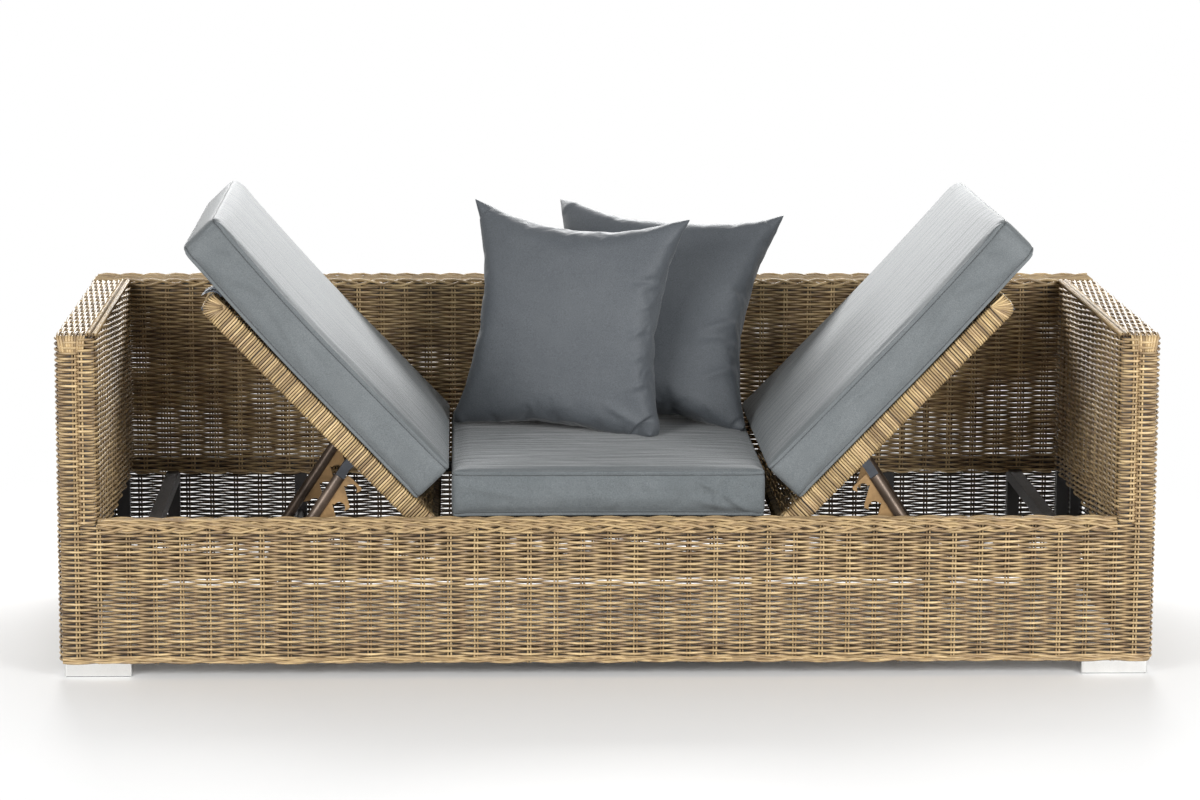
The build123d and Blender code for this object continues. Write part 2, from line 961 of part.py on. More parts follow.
def panel_strap():
    """The end of a webbing strap, fixed to the left panel's upper end."""
    end = panel_length - pivot_to_end
    y = panel_front + strap_inset
    half = strap_width / 2
    root = block(
        end, end + strap_thickness, y - half, y + half, -strap_root / 2, strap_root / 2
    )
    tab = block(0, strap_length, -half, half, 0, strap_thickness)
    tab = Pos(end + strap_thickness / 2, y, 0) * Rot(0, raised_angle, 0) * tab
    return for_side(-1, panel_place(root + tab))


def soft_parts():
    """Three seat cushions, two loose pillows and the strap's end."""
    parts = {}
    start = -centre_cushion_length / 2
    parts["centre_cushion"] = Pos(
        start, cushion_middle, seat_height + soft_gap
    ) * cushion(centre_cushion_length, centre_crown)
    top = panel_thickness / 2 + soft_gap
    raised = panel_place(
        Pos(raised_cushion_start(), cushion_middle, top)
        * cushion(cushion_length, cushion_crown)
    )
    for side, sign in SIDES.items():
        parts[side + "_cushion"] = for_side(sign, raised)
    parts["left_panel_strap"] = panel_strap()
    parts.update(pillows())
    return parts


def build_all():
    """Every named sub-part of the sofa."""
    parts = {}
    parts.update(base_frame())
    parts.update(feet())
    parts.update(woven_walls())
    parts.update(borders())
    parts.update(centre_seat())
    parts.update(soft_parts())
    lugs = []
    pins = []
    rods = []
    panels = panel_parts()
    struts = strut_parts()
    for side, sign in SIDES.items():
        side_lugs, side_pins, rod = hinge_and_catch(sign)
        lugs.extend(side_lugs)
        pins.extend(side_pins)
        rods.append(rod)
        for name, shapes in list(panels.items()) + list(struts.items()):
            parts[side + "_" + name] = Compound(
                children=[for_side(sign, shape) for shape in shapes]
            )
    parts["hinge_lugs"] = Compound(children=lugs)
    parts["hinge_pins"] = Compound(children=pins)
    parts["catch_rods"] = Compound(children=rods)
    return parts


os.makedirs("parts", exist_ok=True)
for node, shape in build_all().items():
    export_step(shape, "parts/" + node + ".step")
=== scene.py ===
import json
import math

import bpy
import numpy as np
from mathutils import Matrix, Vector


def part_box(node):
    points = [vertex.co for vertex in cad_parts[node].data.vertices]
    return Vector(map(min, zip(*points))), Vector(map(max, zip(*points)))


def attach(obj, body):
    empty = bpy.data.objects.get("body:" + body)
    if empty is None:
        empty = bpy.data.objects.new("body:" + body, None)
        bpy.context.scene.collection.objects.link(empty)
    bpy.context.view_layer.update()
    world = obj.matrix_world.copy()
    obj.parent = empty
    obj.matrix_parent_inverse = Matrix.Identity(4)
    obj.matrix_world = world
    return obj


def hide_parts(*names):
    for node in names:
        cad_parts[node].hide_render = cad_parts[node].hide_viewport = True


# Lounge sofa in woven round strand. Metres, +X along the sofa, +Y to the back,
# +Z up, with the origin on the floor under the middle.

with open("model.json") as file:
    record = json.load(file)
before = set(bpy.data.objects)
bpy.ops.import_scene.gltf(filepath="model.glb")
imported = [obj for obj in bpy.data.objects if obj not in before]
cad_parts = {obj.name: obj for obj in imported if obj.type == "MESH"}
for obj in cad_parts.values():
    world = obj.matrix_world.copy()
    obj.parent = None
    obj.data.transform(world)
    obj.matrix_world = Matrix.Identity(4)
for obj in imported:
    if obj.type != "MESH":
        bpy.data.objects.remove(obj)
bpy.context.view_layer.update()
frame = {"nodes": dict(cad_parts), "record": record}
random = np.random.default_rng(7)

# Camera, fitted to the corners of the sofa in the photograph
IMAGE_WIDTH = 1200
FOCAL_PIXELS = 3924.7
SENSOR = 36.0
CAMERA_PLACE = (-0.2864, -7.7755, 1.7373)
CAMERA_RIGHT = (0.999355, -0.035593, 0.00473)
CAMERA_UP = (0.001076, 0.161373, 0.986893)
CAMERA_AHEAD = (0.03589, 0.986251, -0.161307)

# Strand weave: radii, spacing and waves of the rows, and where the stakes stand
STRAND = 0.0026
STAKE = 0.0019
STAKE_PAIR = 0.0058
STAKE_SWAY = 0.0004
ROW_PITCH = 0.00515
WAVE = 0.0050
WAVE_FLATNESS = 0.2
WAVE_SPREAD = 0.08
ROW_DRIFT = 0.0012
ROW_DROOP = 0.00012
BORDER_ROOM = 0.004
WEAVE_DEPTH = 0.0060
CORNER_ROUND = 0.012
PITCH = 0.0515
FIRST_STAKE = 0.029
SECOND_STAKE = 0.071
THIRD_STAKE = 0.126
ARM_FRONT_STAKE = 0.024
INSIDE_STAKE = 0.03
STEPS = 5
CORNER_STEPS = 8
STAKE_STEPS = 24

# Slow changes along a row: length and seed of each
ROW_NOISE = {
    "wave": (0.11, 3),
    "droop": (0.23, 5),
    "fine droop": (0.06, 8),
    "tone": (0.35, 1),
    "fine tone": (0.05, 2),
}
ROW_SEED = 11
STAKE_NOISE_LENGTH = 0.07
STAKE_NOISE_STEP = 900

# Waves shared by rows: height, length, start up and along, bend and share of each
DRIFT_WAVES = ((0.31, 0.53, 1.1, 0.0, 2.2, 0.65), (0.23, 0.21, 0.4, 2.0, 1.7, 0.35))

# Repeatable noise: factors of the hash, and shares, stretch and seeds of the slow noise
HASH_FACTORS = (127.1, 311.7, 43758.5453)
SLOW_SHARES = (0.6, 0.4)
SLOW_STRETCH = (0.7, 0.6)
SECOND_TURN = 0.77
PHASE_SEED = 17
STRETCH_SEED = 31

# How far apart strands read the grain pattern, along and across
GRAIN_SHIFT = (0.37, 1.7)

# Tones of strands, from 0 dark to 1 light, and the painted shade taken off them where rows pass
# behind the stakes and on their sides facing into the sofa
PLAIN_TONES = (0.45, 0.95)
ROW_TONE = 0.74
ROW_TONE_RANGE = 0.24
TONE_DRIFT = 0.10
PAINTED_RECESS_SHADE = 0.34
PAINTED_INSIDE_SHADE = 0.92
PAINTED_SHADE_FROM = 0.5
PAINTED_SHADE_SPAN = 1.5

# Seat panels: hinge line, raised angle, members, wraps and deck
HINGE_X = 0.344
HINGE_Z = 0.2815
RAISED = math.radians(46)
PANEL_START = -0.018
PANEL_END = 0.608
PANEL_HALF = 0.0215
PANEL_FRONT = -0.388
PANEL_BACK = 0.328
BAND = 0.029
BAND_CORNER = 0.005
END_CORNER = 0.013
WRAP = 0.00225
WRAP_PITCH = 0.0053
WRAP_SLANT = 0.0016
WRAP_JITTER = 0.0003
FAN_ROOM = 0.034
FAN_ARC = 0.020
FAN_STEPS = 8
DECK_PITCH = 0.0072
DECK_STRAND = 0.0033
DECK_STAKE = 0.0022
DECK_STAKE_PITCH = 0.060
DECK_STAKE_PAIR = 0.006
DECK_STAKE_STEPS = 12
DECK_LEVEL = PANEL_HALF - 0.0062
DECK_OVERLAP = 0.004

# Walls of the sofa, read from the frame
apron_low, apron_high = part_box("front_apron_weave")
inner_low, inner_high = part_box("back_inner_weave")
HALF_WIDTH = apron_high[0]
FRONT = apron_low[1]
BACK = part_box("back_outer_weave")[1][1]
INNER_X = inner_high[0]
INNER_Y = inner_low[1]
FLOOR_GAP = apron_low[2]
APRON_TOP = apron_high[2]
BORDER_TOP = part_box("apron_top_border")[1][2]
INNER_LOW = inner_low[2]
WALL_TOP = inner_high[2]
ARM_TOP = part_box("left_arm_top_weave")[1][2]


def unit(vectors):
    """Vectors of length one."""
    return vectors / np.linalg.norm(vectors, axis=-1, keepdims=True)


def paths_of(x, y, z):
    """Paths from coordinates that spread over strands by points."""
    return np.stack(np.broadcast_arrays(x, y, z), axis=-1)


def link_piece(name, mesh):
    """An object for a mesh, in the scene."""
    piece = bpy.data.objects.new(name, mesh)
    bpy.context.collection.objects.link(piece)
    return piece


class Strands:
    """Collects round strands and makes one mesh of them."""

    def __init__(self, name):
        self.name = name
        self.parts = []
        self.total = 0
        self.strand_total = 0

    def add(self, paths, radius, up, sides=5, closed=False, tone=None, inside=0.0):
        """Adds strands that follow paths, an array of strands by points by 3.

        Inside is painted shade: how much darker a strand is made on the side that faces away from
        the normal.
        """
        paths = np.asarray(paths, float)
        if paths.ndim == 2:
            paths = paths[None]
        strands, steps, _ = paths.shape
        if closed:
            ahead = np.roll(paths, -1, axis=1) - np.roll(paths, 1, axis=1)
        else:
            ahead = np.gradient(paths, axis=1)
        ahead = unit(ahead)
        side = unit(np.cross(ahead, np.broadcast_to(up, paths.shape)))
        lift = np.cross(side, ahead)
        angles = np.arange(sides) * 2 * math.pi / sides
        round_way = (
            np.cos(angles)[:, None] * side[:, :, None, :]
            + np.sin(angles)[:, None] * lift[:, :, None, :]
        )
        points = paths[:, :, None, :] + radius * round_way
        index = self.total + np.arange(strands * steps * sides)
        near = index.reshape(strands, steps, sides)
        far = np.roll(near, -1, axis=1)
        if not closed:
            near, far = near[:, :-1], far[:, :-1]
        quads = np.stack([near, far, np.roll(far, -1, axis=2), np.roll(near, -1, axis=2)], -1)
        if tone is None:
            tone = random.uniform(*PLAIN_TONES, (strands, 1))
        tone = np.broadcast_to(tone, (strands, steps))[:, :, None]
        # painted shade: how much of the darkening each side of the round takes, most on the side
        # facing away from the normal
        painted_shade_share = np.clip(PAINTED_SHADE_FROM - np.cos(angles), 0, None) / PAINTED_SHADE_SPAN
        tone = np.clip(tone - inside * painted_shade_share, 0, 1)
        gaps = np.linalg.norm(np.diff(paths, axis=1), axis=-1)
        along = np.concatenate([np.zeros((strands, 1)), np.cumsum(gaps, axis=1)], axis=1)
        number = self.strand_total + np.arange(strands)[:, None, None]
        grain = np.empty((strands, steps, sides, 3))
        grain[..., 0] = along[:, :, None] + GRAIN_SHIFT[0] * number
        grain[..., 1] = np.cos(angles) * 0.5 + number * GRAIN_SHIFT[1]
        grain[..., 2] = np.sin(angles) * 0.5
        part = (points.reshape(-1, 3), quads.reshape(-1, 4), tone.ravel(), grain.ravel())
        self.parts.append(part)
        self.total += strands * steps * sides
        self.strand_total += strands

    def build(self, material, body, nodes):
        """One mesh object that rides on a body and stands for CAD nodes."""
        mesh = bpy.data.meshes.new(self.name)
        points, faces, tones, grains = (np.concatenate(part) for part in zip(*self.parts))
        mesh.vertices.add(len(points))
        mesh.vertices.foreach_set("co", points.ravel())
        mesh.loops.add(faces.size)
        mesh.loops.foreach_set("vertex_index", faces.ravel().astype(np.int32))
        mesh.polygons.add(len(faces))
        starts = np.arange(0, faces.size, 4, dtype=np.int32)
        mesh.polygons.foreach_set("loop_start", starts)
        mesh.update(calc_edges=True)
        mesh.shade_smooth()
        tone = mesh.attributes.new("tone", "FLOAT", "POINT")
        tone.data.foreach_set("value", tones.astype(np.float32))
        grain = mesh.attributes.new("grain", "FLOAT_VECTOR", "POINT")
        grain.data.foreach_set("vector", grains.astype(np.float32))
        mesh.materials.append(material)
        piece = link_piece(self.name, mesh)
        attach(piece, body)
        if nodes:
            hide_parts(*nodes)
        print(self.name, 2 * len(faces), "triangles")


class Track:
    """A closed line in plan with rounded corners, and its length at each corner."""

    def __init__(self, corners, arc_steps=8):
        corners = [np.array(corner, float) for corner in corners]
        points = [corners[0]]
        corner_marks = []
        for before, here, after in zip(corners, corners[1:], corners[2:]):
            back = unit(before - here) * CORNER_ROUND
            ahead = unit(after - here) * CORNER_ROUND
            centre = here + back + ahead
            for step in range(arc_steps + 1):
                turn = step / arc_steps * math.pi / 2
                points.append(centre - ahead * math.cos(turn) - back * math.sin(turn))
            corner_marks.append(len(points) - 1 - arc_steps // 2)
        points.append(corners[-1])
        self.points = np.array(points)
        gaps = np.linalg.norm(np.diff(self.points, axis=0), axis=1)
        self.along = np.concatenate([[0], np.cumsum(gaps)])
        self.corner_at = [self.along[mark] for mark in corner_marks]
        self.length = self.along[-1]

    def at(self, places):
        """Points and outward normals at lengths along the closed track."""
        step = 0.0005
        ahead = unit(self.spot(places + step) - self.spot(places - step))
        outward = np.stack([ahead[:, 1], -ahead[:, 0]], axis=-1)
        return self.spot(places), outward

    def spot(self, places):
        """Points at lengths along the track, which closes on its own start."""
        places = np.mod(places, self.length)
        x = np.interp(places, self.along, self.points[:, 0])
        y = np.interp(places, self.along, self.points[:, 1])
        return np.stack([x, y], axis=-1)


def gapped(start, end):
    """Stake places from start to end, with an even count of gaps."""
    count = max(1, round((end - start) / PITCH))
    count += count % 2
    return list(np.linspace(start, end, count + 1))


def evenly(start, end, step):
    """Places from start to end, both included, about a step apart."""
    return np.linspace(start, end, round(abs(end - start) / step) + 1)


def paired(places, apart=STAKE_PAIR):
    """Places of both stakes of each pair."""
    return (np.asarray(places)[:, None] + (-apart / 2, apart / 2)).ravel()


def swing(places, count, pitch=PITCH):
    """From -1 to 1 along rows that pass over and under stakes a pitch apart."""
    numbers = np.arange(count)[:, None]
    return np.cos(math.pi * (places / pitch + numbers))


def hash_noise(numbers, seed):
    """A repeatable value from 0 to 1 for each number."""
    turn = numbers * HASH_FACTORS[0] + seed * HASH_FACTORS[1]
    return np.mod(np.sin(turn) * HASH_FACTORS[2], 1)


def drift(places, heights):
    """Slow waves from -1 to 1 over a wall, shared by rows that lie close together."""
    total = 0
    for height, length, low, start, bend, share in DRIFT_WAVES:
        lean = bend * np.sin(2 * math.pi * heights / height + low)
        total = total + share * np.sin(2 * math.pi * places / length + lean + start)
    return total


def slow_noise(numbers, places, length, seed):
    """Smooth noise from -1 to 1 along each numbered row."""
    total = 0
    least, reach = SLOW_STRETCH
    for step, share in enumerate(SLOW_SHARES):
        phase = 2 * math.pi * hash_noise(numbers, seed + PHASE_SEED * step)
        stretch = least + reach * hash_noise(numbers, seed + STRETCH_SEED + step)
        turn = 2 * math.pi * places[None, :] / (length * stretch) * (1 + step * SECOND_TURN)
        total = total + share * np.sin(turn + phase)
    return total


class Wall:
    """A woven wall on a track: stake places, and rows that weave round them."""

    def __init__(self, track, stakes):
        self.track = track
        self.stakes = np.array(stakes)

    def near(self, place):
        """Number of the stake nearest to a length along the track."""
        return int(np.argmin(np.abs(self.stakes - place)))

    def sample(self, first, last):
        """Lengths along the track, and phase in stakes, from one stake to another."""
        places = []
        phases = []
        for index in range(first, last):
            start, end = self.stakes[index], self.stakes[index + 1]
            turning = any(start < mark < end for mark in self.track.corner_at)
            steps = CORNER_STEPS if turning else STEPS
            for step in range(steps):
                share = step / steps
                places.append(start + share * (end - start))
                phases.append(index + share)
        places.append(self.stakes[last])
        phases.append(last)
        return np.array(places), np.array(phases)

    def rows(self, strands, first, last, heights, sides=5, shift=0, inside=0.0):
        """Adds woven rows at heights between two stakes."""
        places, phases = self.sample(first, last)
        points, outward = self.track.at(places)
        numbers = np.arange(len(heights))[:, None] + shift
        sway = np.cos(math.pi * (phases + numbers))
        wave = WAVE * sway * (1 + WAVE_FLATNESS * (1 - sway**2))
        wave = wave * (1 + WAVE_SPREAD * slow_noise(numbers, places, *ROW_NOISE["wave"]))
        levels = np.asarray(heights)[:, None]
        levels = levels + ROW_DRIFT * drift(places, levels)
        levels = levels + ROW_DROOP * slow_noise(numbers, places, *ROW_NOISE["droop"])
        levels = levels + ROW_DROOP * slow_noise(numbers, places, *ROW_NOISE["fine droop"])
        x = points[:, 0] + wave * outward[:, 0]
        y = points[:, 1] + wave * outward[:, 1]
        tone = ROW_TONE + TONE_DRIFT * slow_noise(numbers, places, *ROW_NOISE["tone"])
        tone = tone + ROW_TONE_RANGE * (hash_noise(numbers, ROW_SEED) - 0.5)
        tone = tone + TONE_DRIFT * slow_noise(numbers, places, *ROW_NOISE["fine tone"])
        # painted shade: rows are darker where they pass behind the stakes
        tone = tone - PAINTED_RECESS_SHADE * (1 - sway) / 2
        strands.add(paths_of(x, y, levels), STRAND, (0, 0, 1), sides, tone=tone, inside=inside)

    def uprights(self, strands, indices, low, high, inside=0.0):
        """Adds paired vertical stakes at some of the stake places."""
        places = self.stakes[list(indices)]
        heights = np.linspace(low, high, STAKE_STEPS)
        _, outward = self.track.at(places)
        tangent = np.stack([-outward[:, 1], outward[:, 0]], axis=-1)
        for side in (-1, 1):
            points, _ = self.track.at(places + side * STAKE_PAIR / 2)
            numbers = places[:, None] * STAKE_NOISE_STEP
            sway = STAKE_SWAY * slow_noise(numbers, heights, STAKE_NOISE_LENGTH, side)
            x = points[:, :1] + sway * tangent[:, :1]
            y = points[:, 1:] + sway * tangent[:, 1:]
            paths = paths_of(x, y, heights)
            # the painted inside shade falls on the side of each stake that faces into the sofa
            up = np.zeros_like(paths)
            up[..., :2] = -tangent[:, None]
            strands.add(paths, STAKE, up, 4, inside=inside)


# Materials


def grey(value):
    """A colour without hue."""
    return (value, value, value)


class Nodes:
    """Short calls to build a node tree."""

    def __init__(self, tree):
        self.tree = tree
        self.shader = tree.nodes.get("Principled BSDF")

    def fill(self, socket, value):
        """Links a socket, or sets its value."""
        if isinstance(value, bpy.types.NodeSocket):
            self.tree.links.new(value, socket)
        else:
            socket.default_value = value

    def new(self, kind, inputs=None, **settings):
        node = self.tree.nodes.new(kind)
        for key, value in settings.items():
            setattr(node, key, value)
        for key, value in (inputs or {}).items():
            self.fill(node.inputs[key], value)
        return node

    def set(self, **values):
        for key, value in values.items():
            self.fill(self.shader.inputs[key.replace("_", " ")], value)

    def ramp(self, factor, stops):
        node = self.new("ShaderNodeValToRGB", {"Fac": factor})
        ramp = node.color_ramp
        while len(ramp.elements) < len(stops):
            ramp.elements.new(0.5)
        for element, (place, colour) in zip(ramp.elements, stops):
            element.position = place
            element.color = (*colour, 1)
        return node.outputs["Color"]

    def times(self, first, second):
        """The product of two colours."""
        inputs = {0: 1.0, 6: first, 7: second}
        node = self.new("ShaderNodeMix", inputs, data_type="RGBA", blend_type="MULTIPLY")
        return node.outputs[2]

    def maths(self, operation, first, second=0.5):
        inputs = {0: first, 1: second}
        return self.new("ShaderNodeMath", inputs, operation=operation).outputs[0]

    def noise(self, vector, scale, detail=2.0, roughness=0.5):
        inputs = {"Vector": vector, "Scale": scale, "Detail": detail, "Roughness": roughness}
        return self.new("ShaderNodeTexNoise", inputs).outputs["Fac"]

    def scaled(self, vector, scale):
        inputs = {"Vector": vector, "Scale": scale}
        return self.new("ShaderNodeMapping", inputs).outputs["Vector"]

    def object_places(self):
        return self.new("ShaderNodeTexCoord").outputs["Object"]

    def attribute(self, name, output):
        return self.new("ShaderNodeAttribute", attribute_name=name).outputs[output]

    def bump(self, height, strength, distance, normal=None):
        inputs = {"Height": height, "Strength": strength, "Distance": distance}
        if normal is not None:
            inputs["Normal"] = normal
        return self.new("ShaderNodeBump", inputs).outputs["Normal"]


def new_material(name):
    """A material and the calls that build its node tree."""
    material = bpy.data.materials.new(name)
    material.use_nodes = True
    return material, Nodes(material.node_tree)


def wicker_material(name, dark, mid, light):
    """Round resin strand: colour drifts between strands, with fine grain along it. Its lowest
    tones, near black, are painted shade.
    """
    material, nodes = new_material(name)
    tone = nodes.attribute("tone", "Fac")
    grain = nodes.attribute("grain", "Vector")
    streak = nodes.noise(nodes.scaled(grain, (28.0, 3.0, 3.0)), 1.0, 3.0, 0.6)
    blotch = nodes.noise(nodes.object_places(), 30.0, 3.0, 0.6)
    # painted shade: the near-black colour that the shaded tones reach
    painted_shade_deep = tuple(0.22 * value for value in dark)
    colour = nodes.ramp(tone, [(0.0, painted_shade_deep), (0.35, dark), (0.68, mid), (1.0, light)])
    streaks = nodes.ramp(streak, [(0.3, (0.7, 0.66, 0.62)), (0.7, (1.14, 1.12, 1.1))])
    blotches = nodes.ramp(blotch, [(0.35, (0.8, 0.76, 0.76)), (0.62, (1.06, 1.06, 1.04))])
    nodes.set(Base_Color=nodes.times(nodes.times(colour, streaks), blotches))
    nodes.set(Roughness=nodes.ramp(streak, [(0.2, grey(0.5)), (0.8, grey(0.33))]))
    nodes.set(Normal=nodes.bump(streak, 0.35, 0.0006), Specular_IOR_Level=0.45)
    return material


def metal_material(name, colour, roughness, metallic, wear, scale=320.0):
    """Metal or paint with fine grain, faint clouds of colour and worn spots."""
    material, nodes = new_material(name)
    place = nodes.object_places()
    fine = nodes.noise(place, scale, 3.0, 0.6)
    cloud = nodes.noise(place, 22.0, 4.0, 0.6)
    low = tuple(value * (1 - wear) for value in colour)
    high = tuple(min(1.0, value * (1 + wear)) for value in colour)
    smooth, dull = grey(roughness * 0.75), grey(min(1.0, roughness * 1.3))
    nodes.set(Base_Color=nodes.ramp(cloud, [(0.3, low), (0.7, high)]))
    nodes.set(Roughness=nodes.ramp(fine, [(0.3, smooth), (0.75, dull)]))
    nodes.set(Normal=nodes.bump(fine, 0.12, 0.0002), Metallic=metallic)
    return material


CLOTH_THREAD = 0.0011


def fabric_material(name, dark, light, rough=0.5, creases=0.5, gloss=0.5):
    """Plain woven cloth with crossing threads, pulled creases and clouds of shade."""
    material, nodes = new_material(name)
    place = nodes.attribute("cloth", "Vector")
    cloud = nodes.noise(place, 9.0, 4.0, 0.65)
    melange = nodes.noise(place, 620.0, 2.0, 0.7)
    pulled = nodes.noise(nodes.scaled(place, (11.0, 34.0, 24.0)), 1.0, 3.0, 0.55)
    axes = nodes.new("ShaderNodeSeparateXYZ", {"Vector": place}).outputs
    turns = 2 * math.pi / CLOTH_THREAD
    x, y, z = (nodes.maths("SINE", nodes.maths("MULTIPLY", axes[i], turns)) for i in range(3))
    threads = nodes.maths("ADD", nodes.maths("ADD", x, y), z)
    colour = nodes.ramp(cloud, [(0.3, dark), (0.7, light)])
    flecks = nodes.ramp(melange, [(0.35, grey(0.76)), (0.65, grey(1.2))])
    normal = nodes.bump(threads, 0.2, CLOTH_THREAD * 0.12)
    normal = nodes.bump(melange, 0.2, 0.0003, normal)
    normal = nodes.bump(pulled, creases, 0.0035, normal)
    nodes.set(Base_Color=nodes.times(colour, flecks), Normal=normal)
    nodes.set(Roughness=rough, Specular_IOR_Level=gloss)
    nodes.set(Sheen_Weight=0.25, Sheen_Roughness=0.35)
    return material


wicker = wicker_material(
    "wicker_strand", (0.18, 0.122, 0.068), (0.48, 0.357, 0.192), (0.78, 0.61, 0.347)
)
golden = wicker_material(
    "wicker_band", (0.18, 0.12, 0.062), (0.46, 0.34, 0.17), (0.74, 0.57, 0.32)
)
# painted shadow: near-black wicker for the middle seat, which lies in shade under the cushions
shadow_wicker = wicker_material(
    "wicker_painted_shadow", (0.03, 0.026, 0.022), (0.055, 0.047, 0.04), (0.09, 0.078, 0.065)
)
cushion_cloth = fabric_material(
    "cushion_fabric", (0.112, 0.125, 0.131), (0.138, 0.152, 0.158), 0.62, 0.22, 0.45
)
seat_cloth = fabric_material(
    "seat_fabric", (0.121, 0.135, 0.141), (0.149, 0.164, 0.171), 0.8, 0.5, 0.14
)
pillow_cloth = fabric_material(
    "pillow_fabric", (0.078, 0.087, 0.098), (0.096, 0.106, 0.117), 0.6, 0.4, 0.4
)
seam_thread = fabric_material("seam_thread", (0.05, 0.056, 0.06), (0.07, 0.077, 0.08))
webbing = fabric_material("strap_webbing", (0.05, 0.065, 0.09), (0.075, 0.095, 0.125))

# Colour, roughness, metallic share, wear and grain of the CAD nodes that stay visible
NODE_MATERIALS = {
    "frame_paint": ((0.03, 0.028, 0.028), 0.42, 0.0, 0.25),
    "comb_plate": ((0.34, 0.21, 0.095), 0.4, 0.5, 0.4),
    "strut_tube": ((0.11, 0.08, 0.06), 0.4, 0.5, 0.35),
    "fitting": ((0.05, 0.055, 0.065), 0.38, 0.4, 0.3),
    "foot_shell": ((0.82, 0.82, 0.81), 0.2, 1.0, 0.05, 700.0),
    "hardware": ((0.5, 0.5, 0.5), 0.3, 1.0, 0.15),
    "glide_plastic": ((0.03, 0.03, 0.03), 0.6, 0.0, 0.2),
}


def dress_nodes():
    """Gives the CAD nodes that stay visible their node materials."""
    materials = {name: metal_material(name, *facts) for name, facts in NODE_MATERIALS.items()}
    slots = {s["node"]: s["material_slot"] for s in frame["record"]["subparts"]}
    for name, node in frame["nodes"].items():
        material = materials.get(slots[name])
        if material is not None:
            for slot in node.material_slots:
                slot.material = material


# Woven body

LEFT = -HALF_WIDTH + WEAVE_DEPTH
NEAR = FRONT + WEAVE_DEPTH
FAR = BACK - WEAVE_DEPTH
INNER_LEFT = -INNER_X - WEAVE_DEPTH
INNER_FAR = INNER_Y + WEAVE_DEPTH


def wall_on(corners, sides):
    """A wall on a closed track. Sides gives the stakes between each pair of corners.

    A pair is an even run, from a length past the start to one before the end. A
    single number is one stake, counted from the end where it is below zero.
    """
    track = Track(corners)
    marks = [0, *track.corner_at, track.length]
    stakes = []
    for start, end, spans in zip(marks, marks[1:], sides):
        for span in spans:
            if isinstance(span, tuple):
                stakes += gapped(start + span[0], end + span[1])
            else:
                stakes.append(span + (end if span < 0 else start))
    return Wall(track, stakes)


# Stakes of the sides: the halves of the back, a plain side, the apron and the arm fronts
HALF_BACKS = ([(0, -FIRST_STAKE)], [(FIRST_STAKE, 0)])
PLAIN = [(FIRST_STAKE, -FIRST_STAKE)]
APRON = [FIRST_STAKE, SECOND_STAKE, (THIRD_STAKE, -THIRD_STAKE), -SECOND_STAKE, -FIRST_STAKE]
ARM_FRONTS = ([FIRST_STAKE, -ARM_FRONT_STAKE], [ARM_FRONT_STAKE, -FIRST_STAKE])

# The closed wall below the top of the apron, and the wall above it: round the
# outside, the arm fronts and the inside
OUTSIDE = [(LEFT, FAR), (LEFT, NEAR), (-LEFT, NEAR), (-LEFT, FAR)]
LEFT_ARM = [(LEFT, FAR), (LEFT, NEAR), (INNER_LEFT, NEAR), (INNER_LEFT, INNER_FAR)]
RIGHT_ARM = [(-x, y) for x, y in reversed(LEFT_ARM)]
LOWER = wall_on(
    [(0, FAR), *OUTSIDE, (0, FAR)], [HALF_BACKS[0], PLAIN, APRON, PLAIN, HALF_BACKS[1]]
)
UPPER = wall_on(
    [(0, FAR), *LEFT_ARM, *RIGHT_ARM, (0, FAR)],
    [HALF_BACKS[0], PLAIN, ARM_FRONTS[0], PLAIN, PLAIN, PLAIN, ARM_FRONTS[1], PLAIN, HALF_BACKS[1]],
)
LOW_ROWS = np.arange(FLOOR_GAP + STRAND, APRON_TOP - BORDER_ROOM, ROW_PITCH)
HIGH_START = LOW_ROWS[-1] + ROW_PITCH
HIGH_ROWS = np.arange(HIGH_START, WALL_TOP - STRAND, ROW_PITCH)
INNER_ROWS = np.arange(HIGH_START, INNER_LOW, -ROW_PITCH)[1:][::-1]
HIGH_SHIFT = len(LOW_ROWS)
INNER_SHIFT = HIGH_SHIFT - len(INNER_ROWS)

# Numbers of the stakes next to the corners
LOW_MARKS = LOWER.track.corner_at
HIGH_MARKS = UPPER.track.corner_at
BACK_LEFT = LOWER.near(LOW_MARKS[0] + FIRST_STAKE)
FRONT_LEFT = LOWER.near(LOW_MARKS[1] - FIRST_STAKE)
FRONT_RIGHT = LOWER.near(LOW_MARKS[2] + FIRST_STAKE)
BACK_RIGHT = LOWER.near(LOW_MARKS[3] - FIRST_STAKE)
LOW_LAST = len(LOWER.stakes) - 1
LEFT_END = UPPER.near(HIGH_MARKS[0] + FIRST_STAKE)
INSIDE_LEFT = UPPER.near(HIGH_MARKS[3] - FIRST_STAKE)
INSIDE_RIGHT = UPPER.near(HIGH_MARKS[4] + FIRST_STAKE)
RIGHT_END = UPPER.near(HIGH_MARKS[7] - FIRST_STAKE)
HIGH_LAST = len(UPPER.stakes) - 1


def apron_and_back():
    """The apron and the outer wall of the back."""
    piece = Strands("apron_weave")
    LOWER.rows(piece, FRONT_LEFT, FRONT_RIGHT, LOW_ROWS, inside=PAINTED_INSIDE_SHADE)
    stakes = range(FRONT_LEFT, FRONT_RIGHT + 1)
    LOWER.uprights(piece, stakes, FLOOR_GAP, APRON_TOP, PAINTED_INSIDE_SHADE)
    piece.build(wicker, "base", ["front_apron_weave"])

    piece = Strands("back_low_weave")
    LOWER.rows(piece, 0, BACK_LEFT, LOW_ROWS, inside=PAINTED_INSIDE_SHADE)
    LOWER.rows(piece, BACK_RIGHT, LOW_LAST, LOW_ROWS, inside=PAINTED_INSIDE_SHADE)
    stakes = [*range(0, BACK_LEFT), *range(BACK_RIGHT + 1, LOW_LAST)]
    LOWER.uprights(piece, stakes, FLOOR_GAP, WALL_TOP, PAINTED_INSIDE_SHADE)
    piece.build(wicker, "base", ["back_outer_weave"])

    piece = Strands("back_high_weave")
    UPPER.rows(piece, 0, LEFT_END, HIGH_ROWS, 4, HIGH_SHIFT)
    UPPER.rows(piece, RIGHT_END, HIGH_LAST, HIGH_ROWS, 4, HIGH_SHIFT)
    piece.build(wicker, "base", ["back_outer_weave"])


